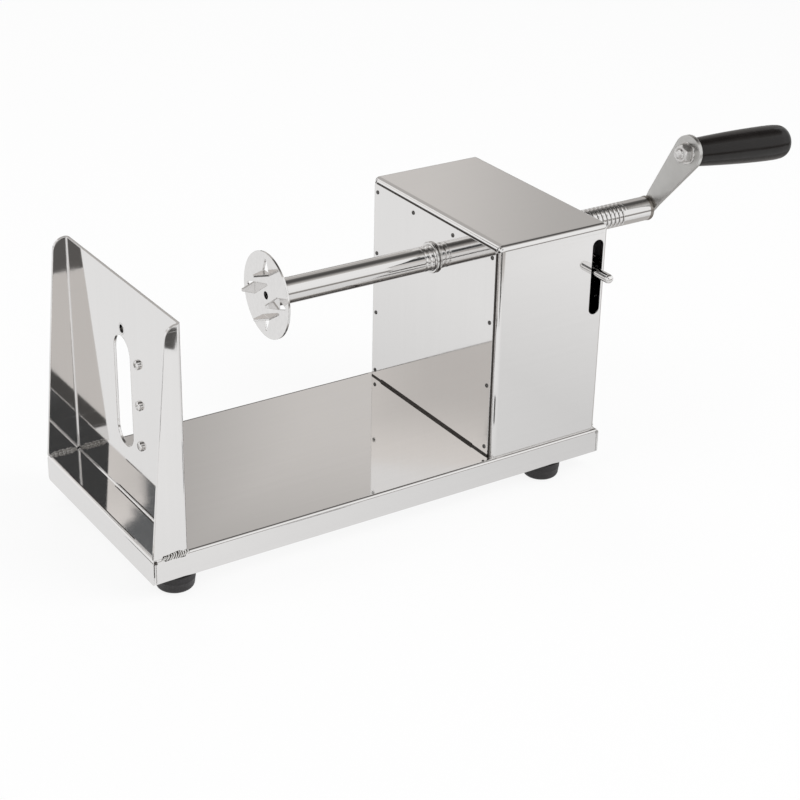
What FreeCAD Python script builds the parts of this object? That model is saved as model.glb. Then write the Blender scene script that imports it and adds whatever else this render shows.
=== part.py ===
"""Hand cranked spiral potato cutter: folded sheet base, blade bracket, housing, feed screw and crank.

Machine frame used by every function: X runs from the blade end (0) to the crank end, Y from the
front (minus) to the back (plus) with 0 on the feed shaft, Z up from the plane the feet stand on.
At export the whole machine is moved so that the origin lies under the middle of its bounding box.
Millimetres and degrees.
"""
import FreeCAD, Part
import Sketcher
import math
import os
import re

SIZES = [
    # base tray
    ("base_length", 375), ("base_width", 174), ("base_flange", 20), ("base_sheet", 1.5),
    ("base_bend", 2.5), ("base_lip", 30), ("relief_radius", 1.4), ("slit_width", 0.5),
    # rubber feet
    ("foot_height", 13), ("foot_top_radius", 14.5), ("foot_sole_radius", 13), ("foot_edge", 1.5),
    ("foot_recess_radius", 6.5), ("foot_recess_depth", 7), ("foot_from_left", 22.5),
    ("foot_from_right", 42.5),
    # blade bracket
    ("bracket_depth", 26.4), ("bracket_sheet", 2), ("bracket_bend", 3), ("bracket_above_axis", 37.3),
    ("gusset_top", 11.6), ("gusset_corner", 10), ("slot_width", 25.5), ("slot_length", 84),
    ("slot_below_axis", 5.7), ("slot_shift", 1.3), ("bracket_relief", 1.5),
    # skewer guide
    ("guide_radius", 4), ("guide_bore", 3), ("guide_rim_radius", 6.5), ("guide_rim", 1.5),
    ("guide_nose", 11.6), ("guide_edge", 0.6),
    # blade
    ("blade_sheet", 1.6), ("blade_height", 80), ("blade_top_below_axis", 6.5), ("slice_gap", 4),
    ("blade_rear", 33), ("blade_step", 15), ("blade_edge_y", 2), ("blade_bevel", 5),
    ("blade_screw_y", 24), ("blade_screw_pitch", 30.8), ("blade_screw_drop", 17.1),
    # housing
    ("housing_length", 98.2), ("housing_setback", 0.6), ("housing_width", 168),
    ("housing_height", 167), ("housing_sheet", 1.2), ("housing_bend", 4), ("housing_lip", 16),
    ("housing_foot_lip", 42), ("corner_relief", 2), ("panel_play", 0.3),
    ("panel_screw_inset", 8.5), ("panel_screw_drop", 10.5), ("panel_screw_foot", 6.5),
    ("panel_screw_middle", 26), ("housing_bolt_inset", 34), ("housing_bolt_end", 24),
    # lever and its slot
    ("lever_from_right", 10), ("lever_slot_width", 9.6), ("lever_slot_up", 25.3),
    ("lever_slot_down", 33.6), ("lever_radius", 3.5), ("lever_stand", 17.5), ("lever_root", 19),
    # feed shaft
    ("shaft_below_top", 36.8), ("shaft_radius", 9.5), ("shaft_bore", 8), ("shaft_start", 137.5),
    ("shaft_length", 343), ("running_gap", 0.05), ("plug_length", 12), ("hub_length", 20),
    # bearings and their turning sleeves
    ("sleeve_radius", 10.4), ("collar_radius", 11.9), ("collar_width", 2),
    ("ring_radius", 12.3), ("ring_width", 1.6), ("ring_recess", 2.2),
    ("bearing_radius", 15), ("bearing_length", 20), ("bearing_rim_radius", 20),
    ("bearing_rim", 2.2), ("rim_play", 0.3),
    # half nuts, cam ring and guide block
    ("cam_radius", 30), ("cam_width", 11), ("cam_play", 0.1), ("nut_play", 0.4),
    ("pin_radius", 2.5), ("pin_edge", 0.8), ("pin_orbit", 21), ("pin_play", 0.35), ("pin_seat", 9),
    ("jaw_travel", 3), ("jaw_width", 32), ("jaw_depth", 17.5), ("jaw_height", 26),
    ("jaw_parting", 1), ("jaw_gap", 0.1), ("jaw_side_play", 0.2), ("lever_fall", 19),
    ("lever_lift", 14), ("rail_width", 6), ("rail_height", 60), ("block_plate", 6),
    ("block_width", 88), ("block_corner", 5), ("block_hole_play", 0.8), ("post_y", 36),
    ("post_z", 26), ("post_radius", 5), ("post_thread", 12),
    # pusher
    ("disc_radius", 32), ("disc_sheet", 1.5), ("tooth_orbit", 16), ("tooth_length", 10),
    ("tooth_base", 9),
    # crank arm, spindle and grip
    ("crank_tilt", 32.1), ("crank_radius", 64.6), ("crank_sheet", 3), ("crank_lean", 6.5),
    ("crank_straight", 12), ("crank_eye", 13.75), ("crank_root", 5.6), ("spindle_radius", 4),
    ("spindle_stand", 2), ("shoulder_radius", 5), ("spindle_head_radius", 6.5),
    ("spindle_head", 5), ("nut_height", 6.3), ("nut_flats", 13), ("washer_radius", 9),
    ("washer_sheet", 1.6), ("grip_length", 101), ("grip_neck", 10.75), ("grip_belly", 14),
    ("grip_belly_from_arm", 68), ("grip_end_radius", 12.8), ("grip_end_round", 4.8),
    ("neck_edge", 1), ("grip_play", 0.3), ("grip_recess_radius", 7.6), ("grip_recess", 10), ("cap_height", 3),
    # screws: radius of shank, radius of head, height of head
    ("fine_radius", 1.2), ("fine_head", 2.1), ("fine_head_height", 1.3),
    ("small_radius", 1.95), ("small_head", 3.9), ("small_head_height", 2.6),
    ("bolt_radius", 1.5), ("bolt_head", 3), ("bolt_head_height", 2.1),
    ("foot_screw_radius", 2.4), ("foot_screw_head", 4.6), ("foot_screw_head_height", 3.2),
    ("hole_play", 0.25), ("seat_play", 0.03), ("point_reach", 3), ("nut_reach", 1.3),
    ("bolt_nut_flats", 5.5), ("bolt_nut_height", 2.4), ("foot_nut_flats", 8),
    ("foot_nut_height", 4), ("foot_washer_radius", 5.8), ("foot_washer_sheet", 1),
]

DERIVED = [
    ("base_top", "foot_height + base_flange"),
    ("box_top", "base_top + housing_height"),
    ("axis_z", "box_top - shaft_below_top"),
    ("bracket_height", "axis_z + bracket_above_axis - base_top"),
    ("plate_x", "bracket_depth - bracket_sheet"),
    ("panel_screw_pitch", "(housing_height - panel_screw_drop - panel_screw_foot) / 3"),
    ("box_right", "base_length - housing_setback"),
    ("box_left", "box_right - housing_length"),
    ("shell_left", "box_left + housing_sheet"),
    ("shell_right", "box_right - housing_sheet"),
    ("lever_x", "box_right - lever_from_right"),
    ("cam_left", "lever_x - cam_width / 2"),
    ("jaw_right", "cam_left - nut_play"),
    ("jaw_left", "jaw_right - jaw_depth"),
    ("jaw_rest", "jaw_travel * lever_fall / (lever_fall + lever_lift)"),
    ("shaft_end", "shaft_start + shaft_length"),
    ("grip_from_arm", "crank_sheet + washer_sheet + grip_play"),
    ("hole_x", "(crank_radius - crank_straight) * tan(crank_lean)"),
    ("grip_reach", "(grip_from_arm + grip_length - grip_end_round) * cos(crank_lean)"),
    ("grip_face", "(grip_end_radius - grip_end_round) * sin(crank_lean)"),
    ("right_reach", "shaft_end + hole_x + grip_reach + grip_face + grip_end_round"),
    ("front_reach", "housing_width / 2 + lever_stand"),
    ("centre_x", "right_reach / 2"),
    ("centre_y", "(base_width / 2 - front_reach) / 2"),
]

TOOTH_COUNT = 4
PANEL_ROWS = 4

doc = FreeCAD.newDocument("spiral_cutter")
sheet = doc.addObject("Spreadsheet::Sheet", "Sizes")
names = [name for name, _ in SIZES + DERIVED]
name_pattern = re.compile(r"\b(" + "|".join(names) + r")\b")
nodes = []


def fill_sheet():
    """Writes the driving sizes as plain numbers and the derived ones as formulas."""
    for row, (name, content) in enumerate(SIZES + DERIVED, start=1):
        text = str(content) if row <= len(SIZES) else "=" + content
        sheet.set(f"A{row}", name)
        sheet.set(f"B{row}", text)
        sheet.setAlias(f"B{row}", name)
    doc.recompute()


def bound(text):
    """The expression text with every size read from the sheet."""
    return name_pattern.sub(r"Sizes.\1", str(text))


def size(text):
    """The present value of an expression in the sheet's names."""
    return float(sheet.evalExpression(str(text)))


def vector(*texts):
    """A vector of expression values."""
    return FreeCAD.Vector(*[size(text) for text in texts])


def place(item, x="0", y="0", z="0", rotation=None):
    """Puts a sub-part at a point of the machine frame, seen from the export origin."""
    if rotation is not None:
        item.Placement = FreeCAD.Placement(FreeCAD.Vector(), rotation)
    item.setExpression("Placement.Base.x", bound(f"({x}) - centre_x"))
    item.setExpression("Placement.Base.y", bound(f"({y}) - centre_y"))
    item.setExpression("Placement.Base.z", bound(f"({z}) + 0"))


def new_body(label):
    """A PartDesign body that becomes a node."""
    body = doc.addObject("PartDesign::Body", label)
    body.Label = label
    nodes.append(body)
    return body


def new_sketch(body, role, offset="0"):
    """A sketch on one of the body's own origin planes, moved along the plane's normal."""
    plane = [item for item in body.Origin.OriginFeatures if item.Role == role][0]
    sketch = body.newObject("Sketcher::SketchObject", "Sketch")
    sketch.AttachmentSupport = (plane, [""])
    sketch.MapMode = "FlatFace"
    sketch.setExpression("AttachmentOffset.Base.z", bound(offset))
    return sketch


def pin_point(sketch, geometry, point, x, y):
    """Ties a point of the sketch to two expressions."""
    for kind, text in (("DistanceX", x), ("DistanceY", y)):
        number = sketch.addConstraint(
            Sketcher.Constraint(kind, -1, 1, geometry, point, size(text)))
        sketch.setExpression(f"Constraints[{number}]", bound(text))


def pin_radius(sketch, geometry, radius):
    """Ties a circle's or arc's radius to an expression."""
    number = sketch.addConstraint(Sketcher.Constraint("Radius", geometry, size(radius)))
    sketch.setExpression(f"Constraints[{number}]", bound(radius))


def left_arc(start, end, radius):
    """The arc from start to end that bulges to the left of the way between them."""
    way = end - start
    left = FreeCAD.Vector(-way.y, way.x, 0).normalize()
    centre = (start + end) * 0.5 - left * math.sqrt(radius ** 2 - way.Length ** 2 / 4)
    circle = Part.Circle(centre, FreeCAD.Vector(0, 0, 1), radius)
    first = math.atan2(end.y - centre.y, end.x - centre.x)
    last = math.atan2(start.y - centre.y, start.x - centre.x)
    if last < first:
        last += 2 * math.pi
    return Part.ArcOfCircle(circle, first, last)


def add_outline(sketch, corners):
    """A closed outline through corners given as pairs of expressions.

    A third expression in a corner makes the edge that leaves it an arc of that radius, which
    bulges to the left of the way round.
    """
    points = [vector(corner[0], corner[1], "0") for corner in corners]
    first = sketch.GeometryCount
    count = len(corners)
    for number, corner in enumerate(corners):
        following = points[(number + 1) % count]
        if len(corner) == 3:
            sketch.addGeometry(left_arc(points[number], following, size(corner[2])))
        else:
            sketch.addGeometry(Part.LineSegment(points[number], following))
    for number, corner in enumerate(corners):
        following = (number + 1) % count
        end = 1 if len(corner) == 3 else 2
        start = 2 if len(corners[following]) == 3 else 1
        sketch.addConstraint(
            Sketcher.Constraint("Coincident", first + number, end, first + following, start))
    for number, corner in enumerate(corners):
        start = 2 if len(corner) == 3 else 1
        pin_point(sketch, first + number, start, corner[0], corner[1])
        if len(corner) == 3:
            pin_radius(sketch, first + number, corner[2])


def add_rectangle(sketch, x0, y0, x1, y1):
    """A rectangle between two opposite corners."""
    add_outline(sketch, [(x0, y0), (x1, y0), (x1, y1), (x0, y1)])


def add_circle(sketch, x, y, radius):
    """A circle."""
    circle = Part.Circle(vector(x, y, "0"), FreeCAD.Vector(0, 0, 1), size(radius))
    number = sketch.addGeometry(circle)
    pin_point(sketch, number, 3, x, y)
    pin_radius(sketch, number, radius)


def add_obround(sketch, x, low, high, width):
    """An upright slot outline with round ends, between two heights."""
    radius = f"({width}) / 2"
    bottom = f"({low}) + ({width}) / 2"
    top = f"({high}) - ({width}) / 2"
    normal = FreeCAD.Vector(0, 0, 1)
    upper = Part.Circle(vector(x, top, "0"), normal, size(radius))
    lower = Part.Circle(vector(x, bottom, "0"), normal, size(radius))
    left = f"({x}) - ({width}) / 2"
    right = f"({x}) + ({width}) / 2"
    first = sketch.GeometryCount
    sketch.addGeometry(Part.ArcOfCircle(upper, 0, math.pi))
    sketch.addGeometry(Part.ArcOfCircle(lower, math.pi, 2 * math.pi))
    sketch.addGeometry(Part.LineSegment(vector(left, top, "0"), vector(left, bottom, "0")))
    sketch.addGeometry(Part.LineSegment(vector(right, bottom, "0"), vector(right, top, "0")))
    for one, two in ((first, first + 2), (first + 2, first + 1)):
        sketch.addConstraint(Sketcher.Constraint("Tangent", one, 2, two, 1))
    for one, two in ((first + 1, first + 3), (first + 3, first)):
        sketch.addConstraint(Sketcher.Constraint("Tangent", one, 2, two, 1))
    pin_point(sketch, first, 3, x, top)
    pin_point(sketch, first + 1, 3, x, bottom)
    pin_radius(sketch, first, radius)
    pin_radius(sketch, first + 1, radius)


def settle(feature):
    """Recomputes the document and stops if the feature failed."""
    doc.recompute()
    if "Invalid" in feature.State or feature.Shape.isNull() or not feature.Shape.isValid():
        raise RuntimeError(f"{feature.Name} failed: {feature.getStatusString()}")
    return feature


def pad(body, sketch, length, backwards=False):
    """Adds the sketch's prism to the body."""
    feature = body.newObject("PartDesign::Pad", "Pad")
    feature.Profile = sketch
    feature.setExpression("Length", bound(length))
    feature.Reversed = backwards
    return settle(feature)


def pocket(body, sketch, length, backwards=False):
    """Cuts the sketch's prism out of the body, and makes sure that something went."""
    before = body.Shape.Volume
    feature = body.newObject("PartDesign::Pocket", "Pocket")
    feature.Profile = sketch
    feature.setExpression("Length", bound(length))
    feature.Reversed = backwards
    settle(feature)
    if not body.Shape.Volume < before:
        raise RuntimeError(f"a pocket in {body.Label} cuts nothing")
    return feature


def cut_both_sides(body, draw, depth):
    """Cuts a side view, drawn by draw(sketch), into the base's front and back to one depth."""
    front = new_sketch(body, "XZ_Plane", "base_width / 2 + 1")
    draw(front)
    pocket(body, front, f"({depth}) + 1")
    back = new_sketch(body, "XZ_Plane", "-base_width / 2 - 1")
    draw(back)
    pocket(body, back, f"({depth}) + 1", backwards=True)


def revolve(body, corners, axis="H_Axis"):
    """Turns an outline of (along, radius) corners about the body's own X axis, or Z with V_Axis."""
    sketch = new_sketch(body, "XZ_Plane")
    add_outline(sketch, corners)
    feature = body.newObject("PartDesign::Revolution", "Revolution")
    feature.Profile = sketch
    feature.ReferenceAxis = (sketch, [axis])
    feature.Angle = 360
    return settle(feature)


def round_edges(body, radius, wanted, kind="Fillet"):
    """Rounds (or chamfers) the edges of the body for which wanted(edge) is true."""
    base = body.Tip
    edges = [f"Edge{number}" for number, edge in enumerate(base.Shape.Edges, start=1)
             if wanted(edge)]
    feature = body.newObject("PartDesign::" + kind, kind)
    feature.Base = (base, edges)
    feature.setExpression("Radius" if kind == "Fillet" else "Size", bound(radius))
    return settle(feature)


def hollow_out(body, thickness, is_open):
    """Leaves an even sheet inside the body's skin, open at the faces for which is_open is true."""
    base = body.Tip
    faces = [f"Face{number}" for number, face in enumerate(base.Shape.Faces, start=1)
             if is_open(face)]
    feature = body.newObject("PartDesign::Thickness", "Thickness")
    feature.Base = (base, faces)
    feature.setExpression("Value", bound(thickness))
    feature.Reversed = True
    return settle(feature)


def middle(edge):
    """The middle of an edge's two ends."""
    return (edge.Vertexes[0].Point + edge.Vertexes[-1].Point) * 0.5


def direction(edge):
    """The unit vector from one end of an edge to the other."""
    ends = edge.Vertexes[-1].Point - edge.Vertexes[0].Point
    return ends.normalize() if ends.Length else ends


def near(one, other):
    """True where two lengths are the same to a hundredth."""
    return abs(one - other) < 0.01


def group(label, template, places):
    """A node of identical separate solids: copies of a template's shape at several placements."""
    copies = []
    for placement in places:
        copy = template.copy()
        copy.Placement = placement
        copies.append(copy)
    item = doc.addObject("Part::Feature", label)
    item.Label = label
    item.Shape = Part.makeCompound(copies)
    place(item)
    nodes.append(item)
    return item


def turned(*corners):
    """A solid of revolution about the X axis from (along, radius) pairs of numbers."""
    points = [FreeCAD.Vector(along, radius, 0) for along, radius in corners]
    face = Part.Face(Part.makePolygon(points + points[:1]))
    return face.revolve(FreeCAD.Vector(), FreeCAD.Vector(1, 0, 0), 360)


def pan_screw(radius, length, head, height):
    """A screw along +X whose head's seat is at 0: a shank and a low head with a sloping rim."""
    return turned((-height, 0), (-height, 0.75 * head), (-height / 3, head), (0, head),
                  (0, radius), (length, radius), (length, 0))


def hexagon(flats, height, bore):
    """A hexagon nut along +X from 0, with a plain bore and chamfered corners."""
    corner = flats / math.sqrt(3)
    points = [FreeCAD.Vector(0, corner * math.cos(turn), corner * math.sin(turn))
              for turn in [math.radians(60 * step) for step in range(7)]]
    prism = Part.Face(Part.makePolygon(points)).extrude(FreeCAD.Vector(height, 0, 0))
    chamfer = 0.12 * height
    rim = flats / 2 + 0.02 * flats
    envelope = turned((0, bore), (0, rim), (chamfer, corner), (height - chamfer, corner),
                      (height, rim), (height, bore))
    return prism.common(envelope)


def along_x(x, y, z):
    """A placement with the template's axis along +X."""
    return FreeCAD.Placement(FreeCAD.Vector(x, y, z), FreeCAD.Rotation())


def against_x(x, y, z):
    """A placement with the template's axis along -X."""
    turn = FreeCAD.Rotation(FreeCAD.Vector(0, 0, 1), 180)
    return FreeCAD.Placement(FreeCAD.Vector(x, y, z), turn)


def upward(x, y, z):
    """A placement with the template's axis along +Z."""
    turn = FreeCAD.Rotation(FreeCAD.Vector(0, 1, 0), -90)
    return FreeCAD.Placement(FreeCAD.Vector(x, y, z), turn)


# ---------------------------------------------------------------- base and feet

def foot_spots():
    """The four feet's names with their X and Y expressions."""
    left = "foot_from_left"
    right = "base_length - foot_from_right"
    front = "foot_top_radius - base_width / 2"
    back = "base_width / 2 - foot_top_radius"
    return [("front_left", left, front), ("front_right", right, front),
            ("rear_left", left, back), ("rear_right", right, back)]


def housing_bolt_spots():
    """X and Y expressions of the four bolts that hold the housing on the base."""
    reach = "(housing_width / 2 - housing_bolt_inset)"
    ends = ("box_left + housing_bolt_end", "box_right - housing_bolt_end")
    return [(x, side + reach) for x in ends for side in ("-", "")]


def make_base_tray():
    """The folded tray: top sheet, four flanges, lips under the long sides, split corners."""
    body = new_body("base_tray")
    block = new_sketch(body, "XY_Plane", "foot_height")
    add_rectangle(block, "0", "-base_width / 2", "base_length", "base_width / 2")
    pad(body, block, "base_flange")
    top = size("base_top")
    bottom = size("foot_height")

    def folded(edge):
        if near(abs(direction(edge).z), 1):
            return False
        along_side = near(abs(direction(edge).x), 1)
        return near(middle(edge).z, top) or (along_side and near(middle(edge).z, bottom))

    round_edges(body, "base_bend", folded)
    mouth = new_sketch(body, "XY_Plane", "foot_height")
    add_rectangle(mouth, "base_sheet", "base_lip - base_width / 2",
                  "base_length - base_sheet", "base_width / 2 - base_lip")
    pocket(body, mouth, "base_flange - base_sheet", backwards=True)
    under_lips(body)
    inner_bends(body)
    corner_splits(body)
    foot_holes = new_sketch(body, "XY_Plane", "foot_height")
    for _, x, y in foot_spots():
        add_circle(foot_holes, x, y, "foot_screw_radius + hole_play")
    pocket(body, foot_holes, "2 * base_sheet", backwards=True)
    bolt_holes = new_sketch(body, "XY_Plane", "base_top")
    for x, y in housing_bolt_spots():
        add_circle(bolt_holes, x, y, "bolt_radius + hole_play")
    pocket(body, bolt_holes, "2 * base_sheet")
    place(body)


def under_lips(body):
    """Clears the space above the two lips, cutting lengthways from end flange to end flange."""
    hollow = new_sketch(body, "YZ_Plane", "base_sheet")
    low = "foot_height + base_sheet"
    high = "base_top - base_sheet"
    for side in ("-", ""):
        inner = f"{side}(base_width / 2 - base_lip - base_sheet)"
        outer = f"{side}(base_width / 2 - base_sheet)"
        add_rectangle(hollow, inner, low, outer, high)
    pocket(body, hollow, "base_length - 2 * base_sheet", backwards=True)


def inner_bends(body):
    """Rounds the inside of the tray's bends, so that the sheet keeps its thickness."""
    side = size("base_width / 2 - base_sheet")
    heights = (size("base_top - base_sheet"), size("foot_height + base_sheet"))
    ends = (size("base_sheet"), size("base_length - base_sheet"))

    def inside(edge):
        spot = middle(edge)
        way = direction(edge)
        long_one = near(abs(spot.y), side) and near(abs(way.x), 1)
        short_one = (near(spot.x, ends[0]) or near(spot.x, ends[1])) and near(abs(way.y), 1)
        if long_one:
            return near(spot.z, heights[0]) or near(spot.z, heights[1])
        return short_one and near(spot.z, heights[0])

    round_edges(body, "base_bend - base_sheet", inside)


def corner_splits(body):
    """The open seam between end flange and side flange at each corner, with its relief hole."""
    lefts = ("base_sheet", "base_length - base_sheet - slit_width")
    seams = new_sketch(body, "XZ_Plane", "-base_width / 2 - 1")
    for left in lefts:
        add_rectangle(seams, left, "foot_height - 1", f"{left} + slit_width",
                      "base_top - 2 * relief_radius")
    pocket(body, seams, "base_width + 2", backwards=True)

    def holes(sketch):
        for left in lefts:
            add_circle(sketch, f"{left} + slit_width / 2", "base_top - base_bend",
                       "relief_radius")

    cut_both_sides(body, holes, "base_bend")


def make_feet():
    """Four tapered rubber feet with a recess for the screw's head."""
    for name, x, y in foot_spots():
        body = new_body("foot_" + name)
        revolve(body, [
            ("foot_recess_radius", "0"),
            ("foot_sole_radius - foot_edge", "0"),
            ("foot_sole_radius", "foot_edge"),
            ("foot_top_radius", "foot_height"),
            ("foot_screw_radius + hole_play", "foot_height"),
            ("foot_screw_radius + hole_play", "foot_recess_depth"),
            ("foot_recess_radius", "foot_recess_depth"),
        ], axis="V_Axis")
        place(body, x, y)


def make_foot_fasteners():
    """Screw, washer and nut of each foot."""
    spots = [vector(x, y, "0") for _, x, y in foot_spots()]
    seat = size("foot_recess_depth - foot_washer_sheet")
    lip_top = size("foot_height + base_sheet")
    nut_height = size("foot_nut_height")
    radius = size("foot_screw_radius")
    reach = lip_top + nut_height + size("nut_reach") - seat
    screw = pan_screw(radius, reach, size("foot_screw_head"), size("foot_screw_head_height"))
    group("foot_screws", screw, [upward(spot.x, spot.y, seat) for spot in spots])
    sheet_height = size("foot_washer_sheet")
    bore = size("foot_screw_radius + hole_play")
    rim = size("foot_washer_radius")
    washer = turned((0, bore), (0, rim), (sheet_height, rim), (sheet_height, bore))
    group("foot_washers", washer, [upward(spot.x, spot.y, seat) for spot in spots])
    nut = hexagon(size("foot_nut_flats"), nut_height, radius + size("seat_play"))
    group("foot_nuts", nut, [upward(spot.x, spot.y, lip_top) for spot in spots])


# ---------------------------------------------------------------- blade end

def make_blade_bracket():
    """One folded sheet: an upright plate with a tapered gusset at each side, slot and holes."""
    body = new_body("blade_bracket")
    outline = new_sketch(body, "XY_Plane", "base_top")
    half = "base_width / 2"
    add_outline(outline, [
        ("0", f"-{half}"), ("bracket_depth", f"-{half}"), ("bracket_depth", half), ("0", half),
        ("0", f"{half} - bracket_sheet"), ("plate_x", f"{half} - bracket_sheet"),
        ("plate_x", f"bracket_sheet - {half}"), ("0", f"bracket_sheet - {half}"),
    ])
    pad(body, outline, "bracket_height")
    depth = size("bracket_depth")
    inside = size("plate_x")

    def upright_at(x):
        return lambda edge: near(abs(direction(edge).z), 1) and near(middle(edge).x, x)

    round_edges(body, "bracket_bend", upright_at(depth))
    round_edges(body, "bracket_bend - bracket_sheet", upright_at(inside))
    taper = new_sketch(body, "XZ_Plane", "-base_width / 2 - 1")
    top = "base_top + bracket_height"
    add_outline(taper, [
        ("-1", "base_top"), ("0", "base_top"), ("bracket_depth - gusset_top", top),
        ("bracket_depth - gusset_top", f"{top} + 1"), ("-1", f"{top} + 1"),
    ])
    pocket(body, taper, "base_width + 2", backwards=True)
    corner_x = size("bracket_depth - gusset_top")
    corner_z = size(top)

    def free_corner(edge):
        spot = middle(edge)
        return near(spot.x, corner_x) and near(spot.z, corner_z) and near(abs(direction(edge).y), 1)

    round_edges(body, "gusset_corner", free_corner)
    slot = new_sketch(body, "YZ_Plane", "bracket_depth + 1")
    high = "axis_z - slot_below_axis"
    add_obround(slot, "slot_shift", f"{high} - slot_length", high, "slot_width")
    pocket(body, slot, "bracket_sheet + 2")
    holes = new_sketch(body, "YZ_Plane", "bracket_depth + 1")
    add_circle(holes, "0", "axis_z", "guide_radius + seat_play")
    for row in range(3):
        add_circle(holes, "-blade_screw_y", blade_screw_height(row), "small_radius + hole_play")
    pocket(body, holes, "bracket_sheet + 2")
    cut_both_sides(body, lambda sketch: add_circle(
        sketch, "plate_x", "base_top", "bracket_relief"), "bracket_bend")
    place(body)


def blade_screw_height(row):
    """Height expression of one of the blade's screws, counted downward."""
    return f"axis_z - blade_screw_drop - {row} * blade_screw_pitch"


def make_skewer_guide():
    """The hollow pin on the axis: a tube through the plate, a rim against it and a sharp nose."""
    body = new_body("skewer_guide")
    revolve(body, [
        ("-bracket_sheet", "guide_bore"),
        ("-bracket_sheet", "guide_radius"),
        ("0", "guide_radius"),
        ("0", "guide_rim_radius"),
        ("guide_rim", "guide_rim_radius"),
        ("guide_rim", "guide_radius"),
        ("guide_nose - 3", "guide_radius"),
        ("guide_nose", "guide_bore + guide_edge / 4"),
        ("guide_nose", "guide_bore"),
    ])
    place(body, "bracket_depth", "0", "axis_z")


def make_blade():
    """The knife strip: a flange on the plate, a step of one slice, and a bevelled edge."""
    body = new_body("blade")
    section = new_sketch(body, "XY_Plane")
    gap = "slice_gap"
    add_outline(section, [
        ("0", "-blade_rear"),
        ("blade_sheet", "-blade_rear"),
        ("blade_sheet", "-blade_step - blade_sheet / 3"),
        (f"{gap} + blade_sheet", f"slice_gap - blade_step - blade_sheet / 3"),
        (f"{gap} + blade_sheet", "-blade_edge_y - blade_bevel"),
        (f"{gap} + blade_sheet / 5", "-blade_edge_y"),
        (gap, "-blade_edge_y"),
        (gap, f"slice_gap - blade_step + blade_sheet / 3"),
        ("0", "blade_sheet / 3 - blade_step"),
    ])
    pad(body, section, "blade_height")
    top = size("blade_height")

    def flange_corner(edge):
        spot = middle(edge)
        at_end = near(spot.z, 0) or near(spot.z, top)
        return at_end and near(spot.y, -size("blade_rear")) and near(abs(direction(edge).x), 1)

    round_edges(body, "blade_bevel - 1", flange_corner)
    holes = new_sketch(body, "YZ_Plane", "blade_sheet + 1")
    for row in range(3):
        add_circle(holes, "-blade_screw_y", f"({blade_screw_height(row)}) - ({blade_bottom()})",
                   "small_radius + seat_play")
    pocket(body, holes, "blade_sheet + 2")
    place(body, "bracket_depth", "0", blade_bottom())


def blade_bottom():
    """Height expression of the blade's lower end."""
    return "axis_z - blade_top_below_axis - blade_height"


def make_blade_screws():
    """Three pan screws through the plate into the blade."""
    length = size("bracket_sheet + blade_sheet")
    screw = pan_screw(size("small_radius"), length, size("small_head"),
                      size("small_head_height"))
    spots = [along_x(size("plate_x"), -size("blade_screw_y"), size(blade_screw_height(row)))
             for row in range(3)]
    group("blade_screws", screw, spots)


# ---------------------------------------------------------------- housing

def panel_screw_spots():
    """Y and Z expressions of the ten screws round an end panel."""
    side = "(housing_width / 2 - panel_screw_inset)"
    spots = []
    for row in range(PANEL_ROWS):
        height = f"box_top - panel_screw_drop - {row} * panel_screw_pitch"
        spots += [("-" + side, height), (side, height)]
    spots += [("-panel_screw_middle", "box_top - panel_screw_drop"),
              ("panel_screw_middle", "box_top - panel_screw_drop")]
    return spots


def post_spots(levels):
    """Y and Z expressions of the posts that carry the guide block, at the levels + and -."""
    return [(y, f"axis_z {z} post_z") for y in ("-post_y", "post_y") for z in levels]


def make_housing_shell():
    """Front, top and back folded from one sheet, with lips turned in at both ends and below."""
    body = new_body("housing_shell")
    half = "housing_width / 2"
    block = new_sketch(body, "XY_Plane", "base_top")
    add_rectangle(block, "shell_left", f"-{half}", "shell_right", half)
    pad(body, block, "housing_height")
    floor = size("base_top")

    def off_the_floor(edge):
        return middle(edge).z > floor + 0.01

    round_edges(body, "housing_bend", off_the_floor)
    hollow_out(body, "housing_sheet", lambda face: near(face.CenterOfMass.z, floor))
    windows = new_sketch(body, "YZ_Plane", "shell_left - 1")
    add_rectangle(windows, f"housing_lip - {half}", "base_top - 1", f"{half} - housing_lip",
                  "box_top - housing_lip")
    pocket(body, windows, "housing_length", backwards=True)
    for side in ("-", ""):
        lip = new_sketch(body, "XY_Plane", "base_top")
        add_rectangle(lip, "shell_left + housing_sheet / 2",
                      f"{side}({half} - housing_foot_lip)",
                      "shell_right - housing_sheet / 2", f"{side}({half} - housing_sheet / 2)")
        pad(body, lip, "housing_sheet")
    lever_slot = new_sketch(body, "XZ_Plane", f"{half} + 1")
    add_obround(lever_slot, "lever_x", "axis_z - lever_slot_down", "axis_z + lever_slot_up",
                "lever_slot_width")
    pocket(body, lever_slot, "housing_sheet + 2")
    screw_holes = new_sketch(body, "YZ_Plane", "shell_left - 1")
    for y, z in panel_screw_spots():
        add_circle(screw_holes, y, z, "fine_radius + seat_play")
    pocket(body, screw_holes, "housing_length", backwards=True)
    bolt_holes = new_sketch(body, "XY_Plane", "base_top + 2 * housing_sheet")
    for x, y in housing_bolt_spots():
        add_circle(bolt_holes, x, y, "bolt_radius + hole_play")
    pocket(body, bolt_holes, "3 * housing_sheet")
    post_holes = new_sketch(body, "YZ_Plane", "shell_right + 1")
    for y, z in post_spots("+"):
        add_circle(post_holes, y, z, "small_radius + hole_play")
    pocket(body, post_holes, "2 * housing_sheet + 1")
    top_corner_reliefs(body)
    place(body)


def top_corner_reliefs(body):
    """The round relief where the folds of a top corner meet, at all four corners."""
    side = "(housing_width / 2 - 0.8 * housing_bend)"
    height = "box_top - 0.8 * housing_bend"
    for start, backwards in (("shell_left - 1", True), ("shell_right + 1", False)):
        corners = new_sketch(body, "YZ_Plane", start)
        add_circle(corners, "-" + side, height, "corner_relief")
        add_circle(corners, side, height, "corner_relief")
        pocket(body, corners, "housing_bend + 1", backwards)


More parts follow.
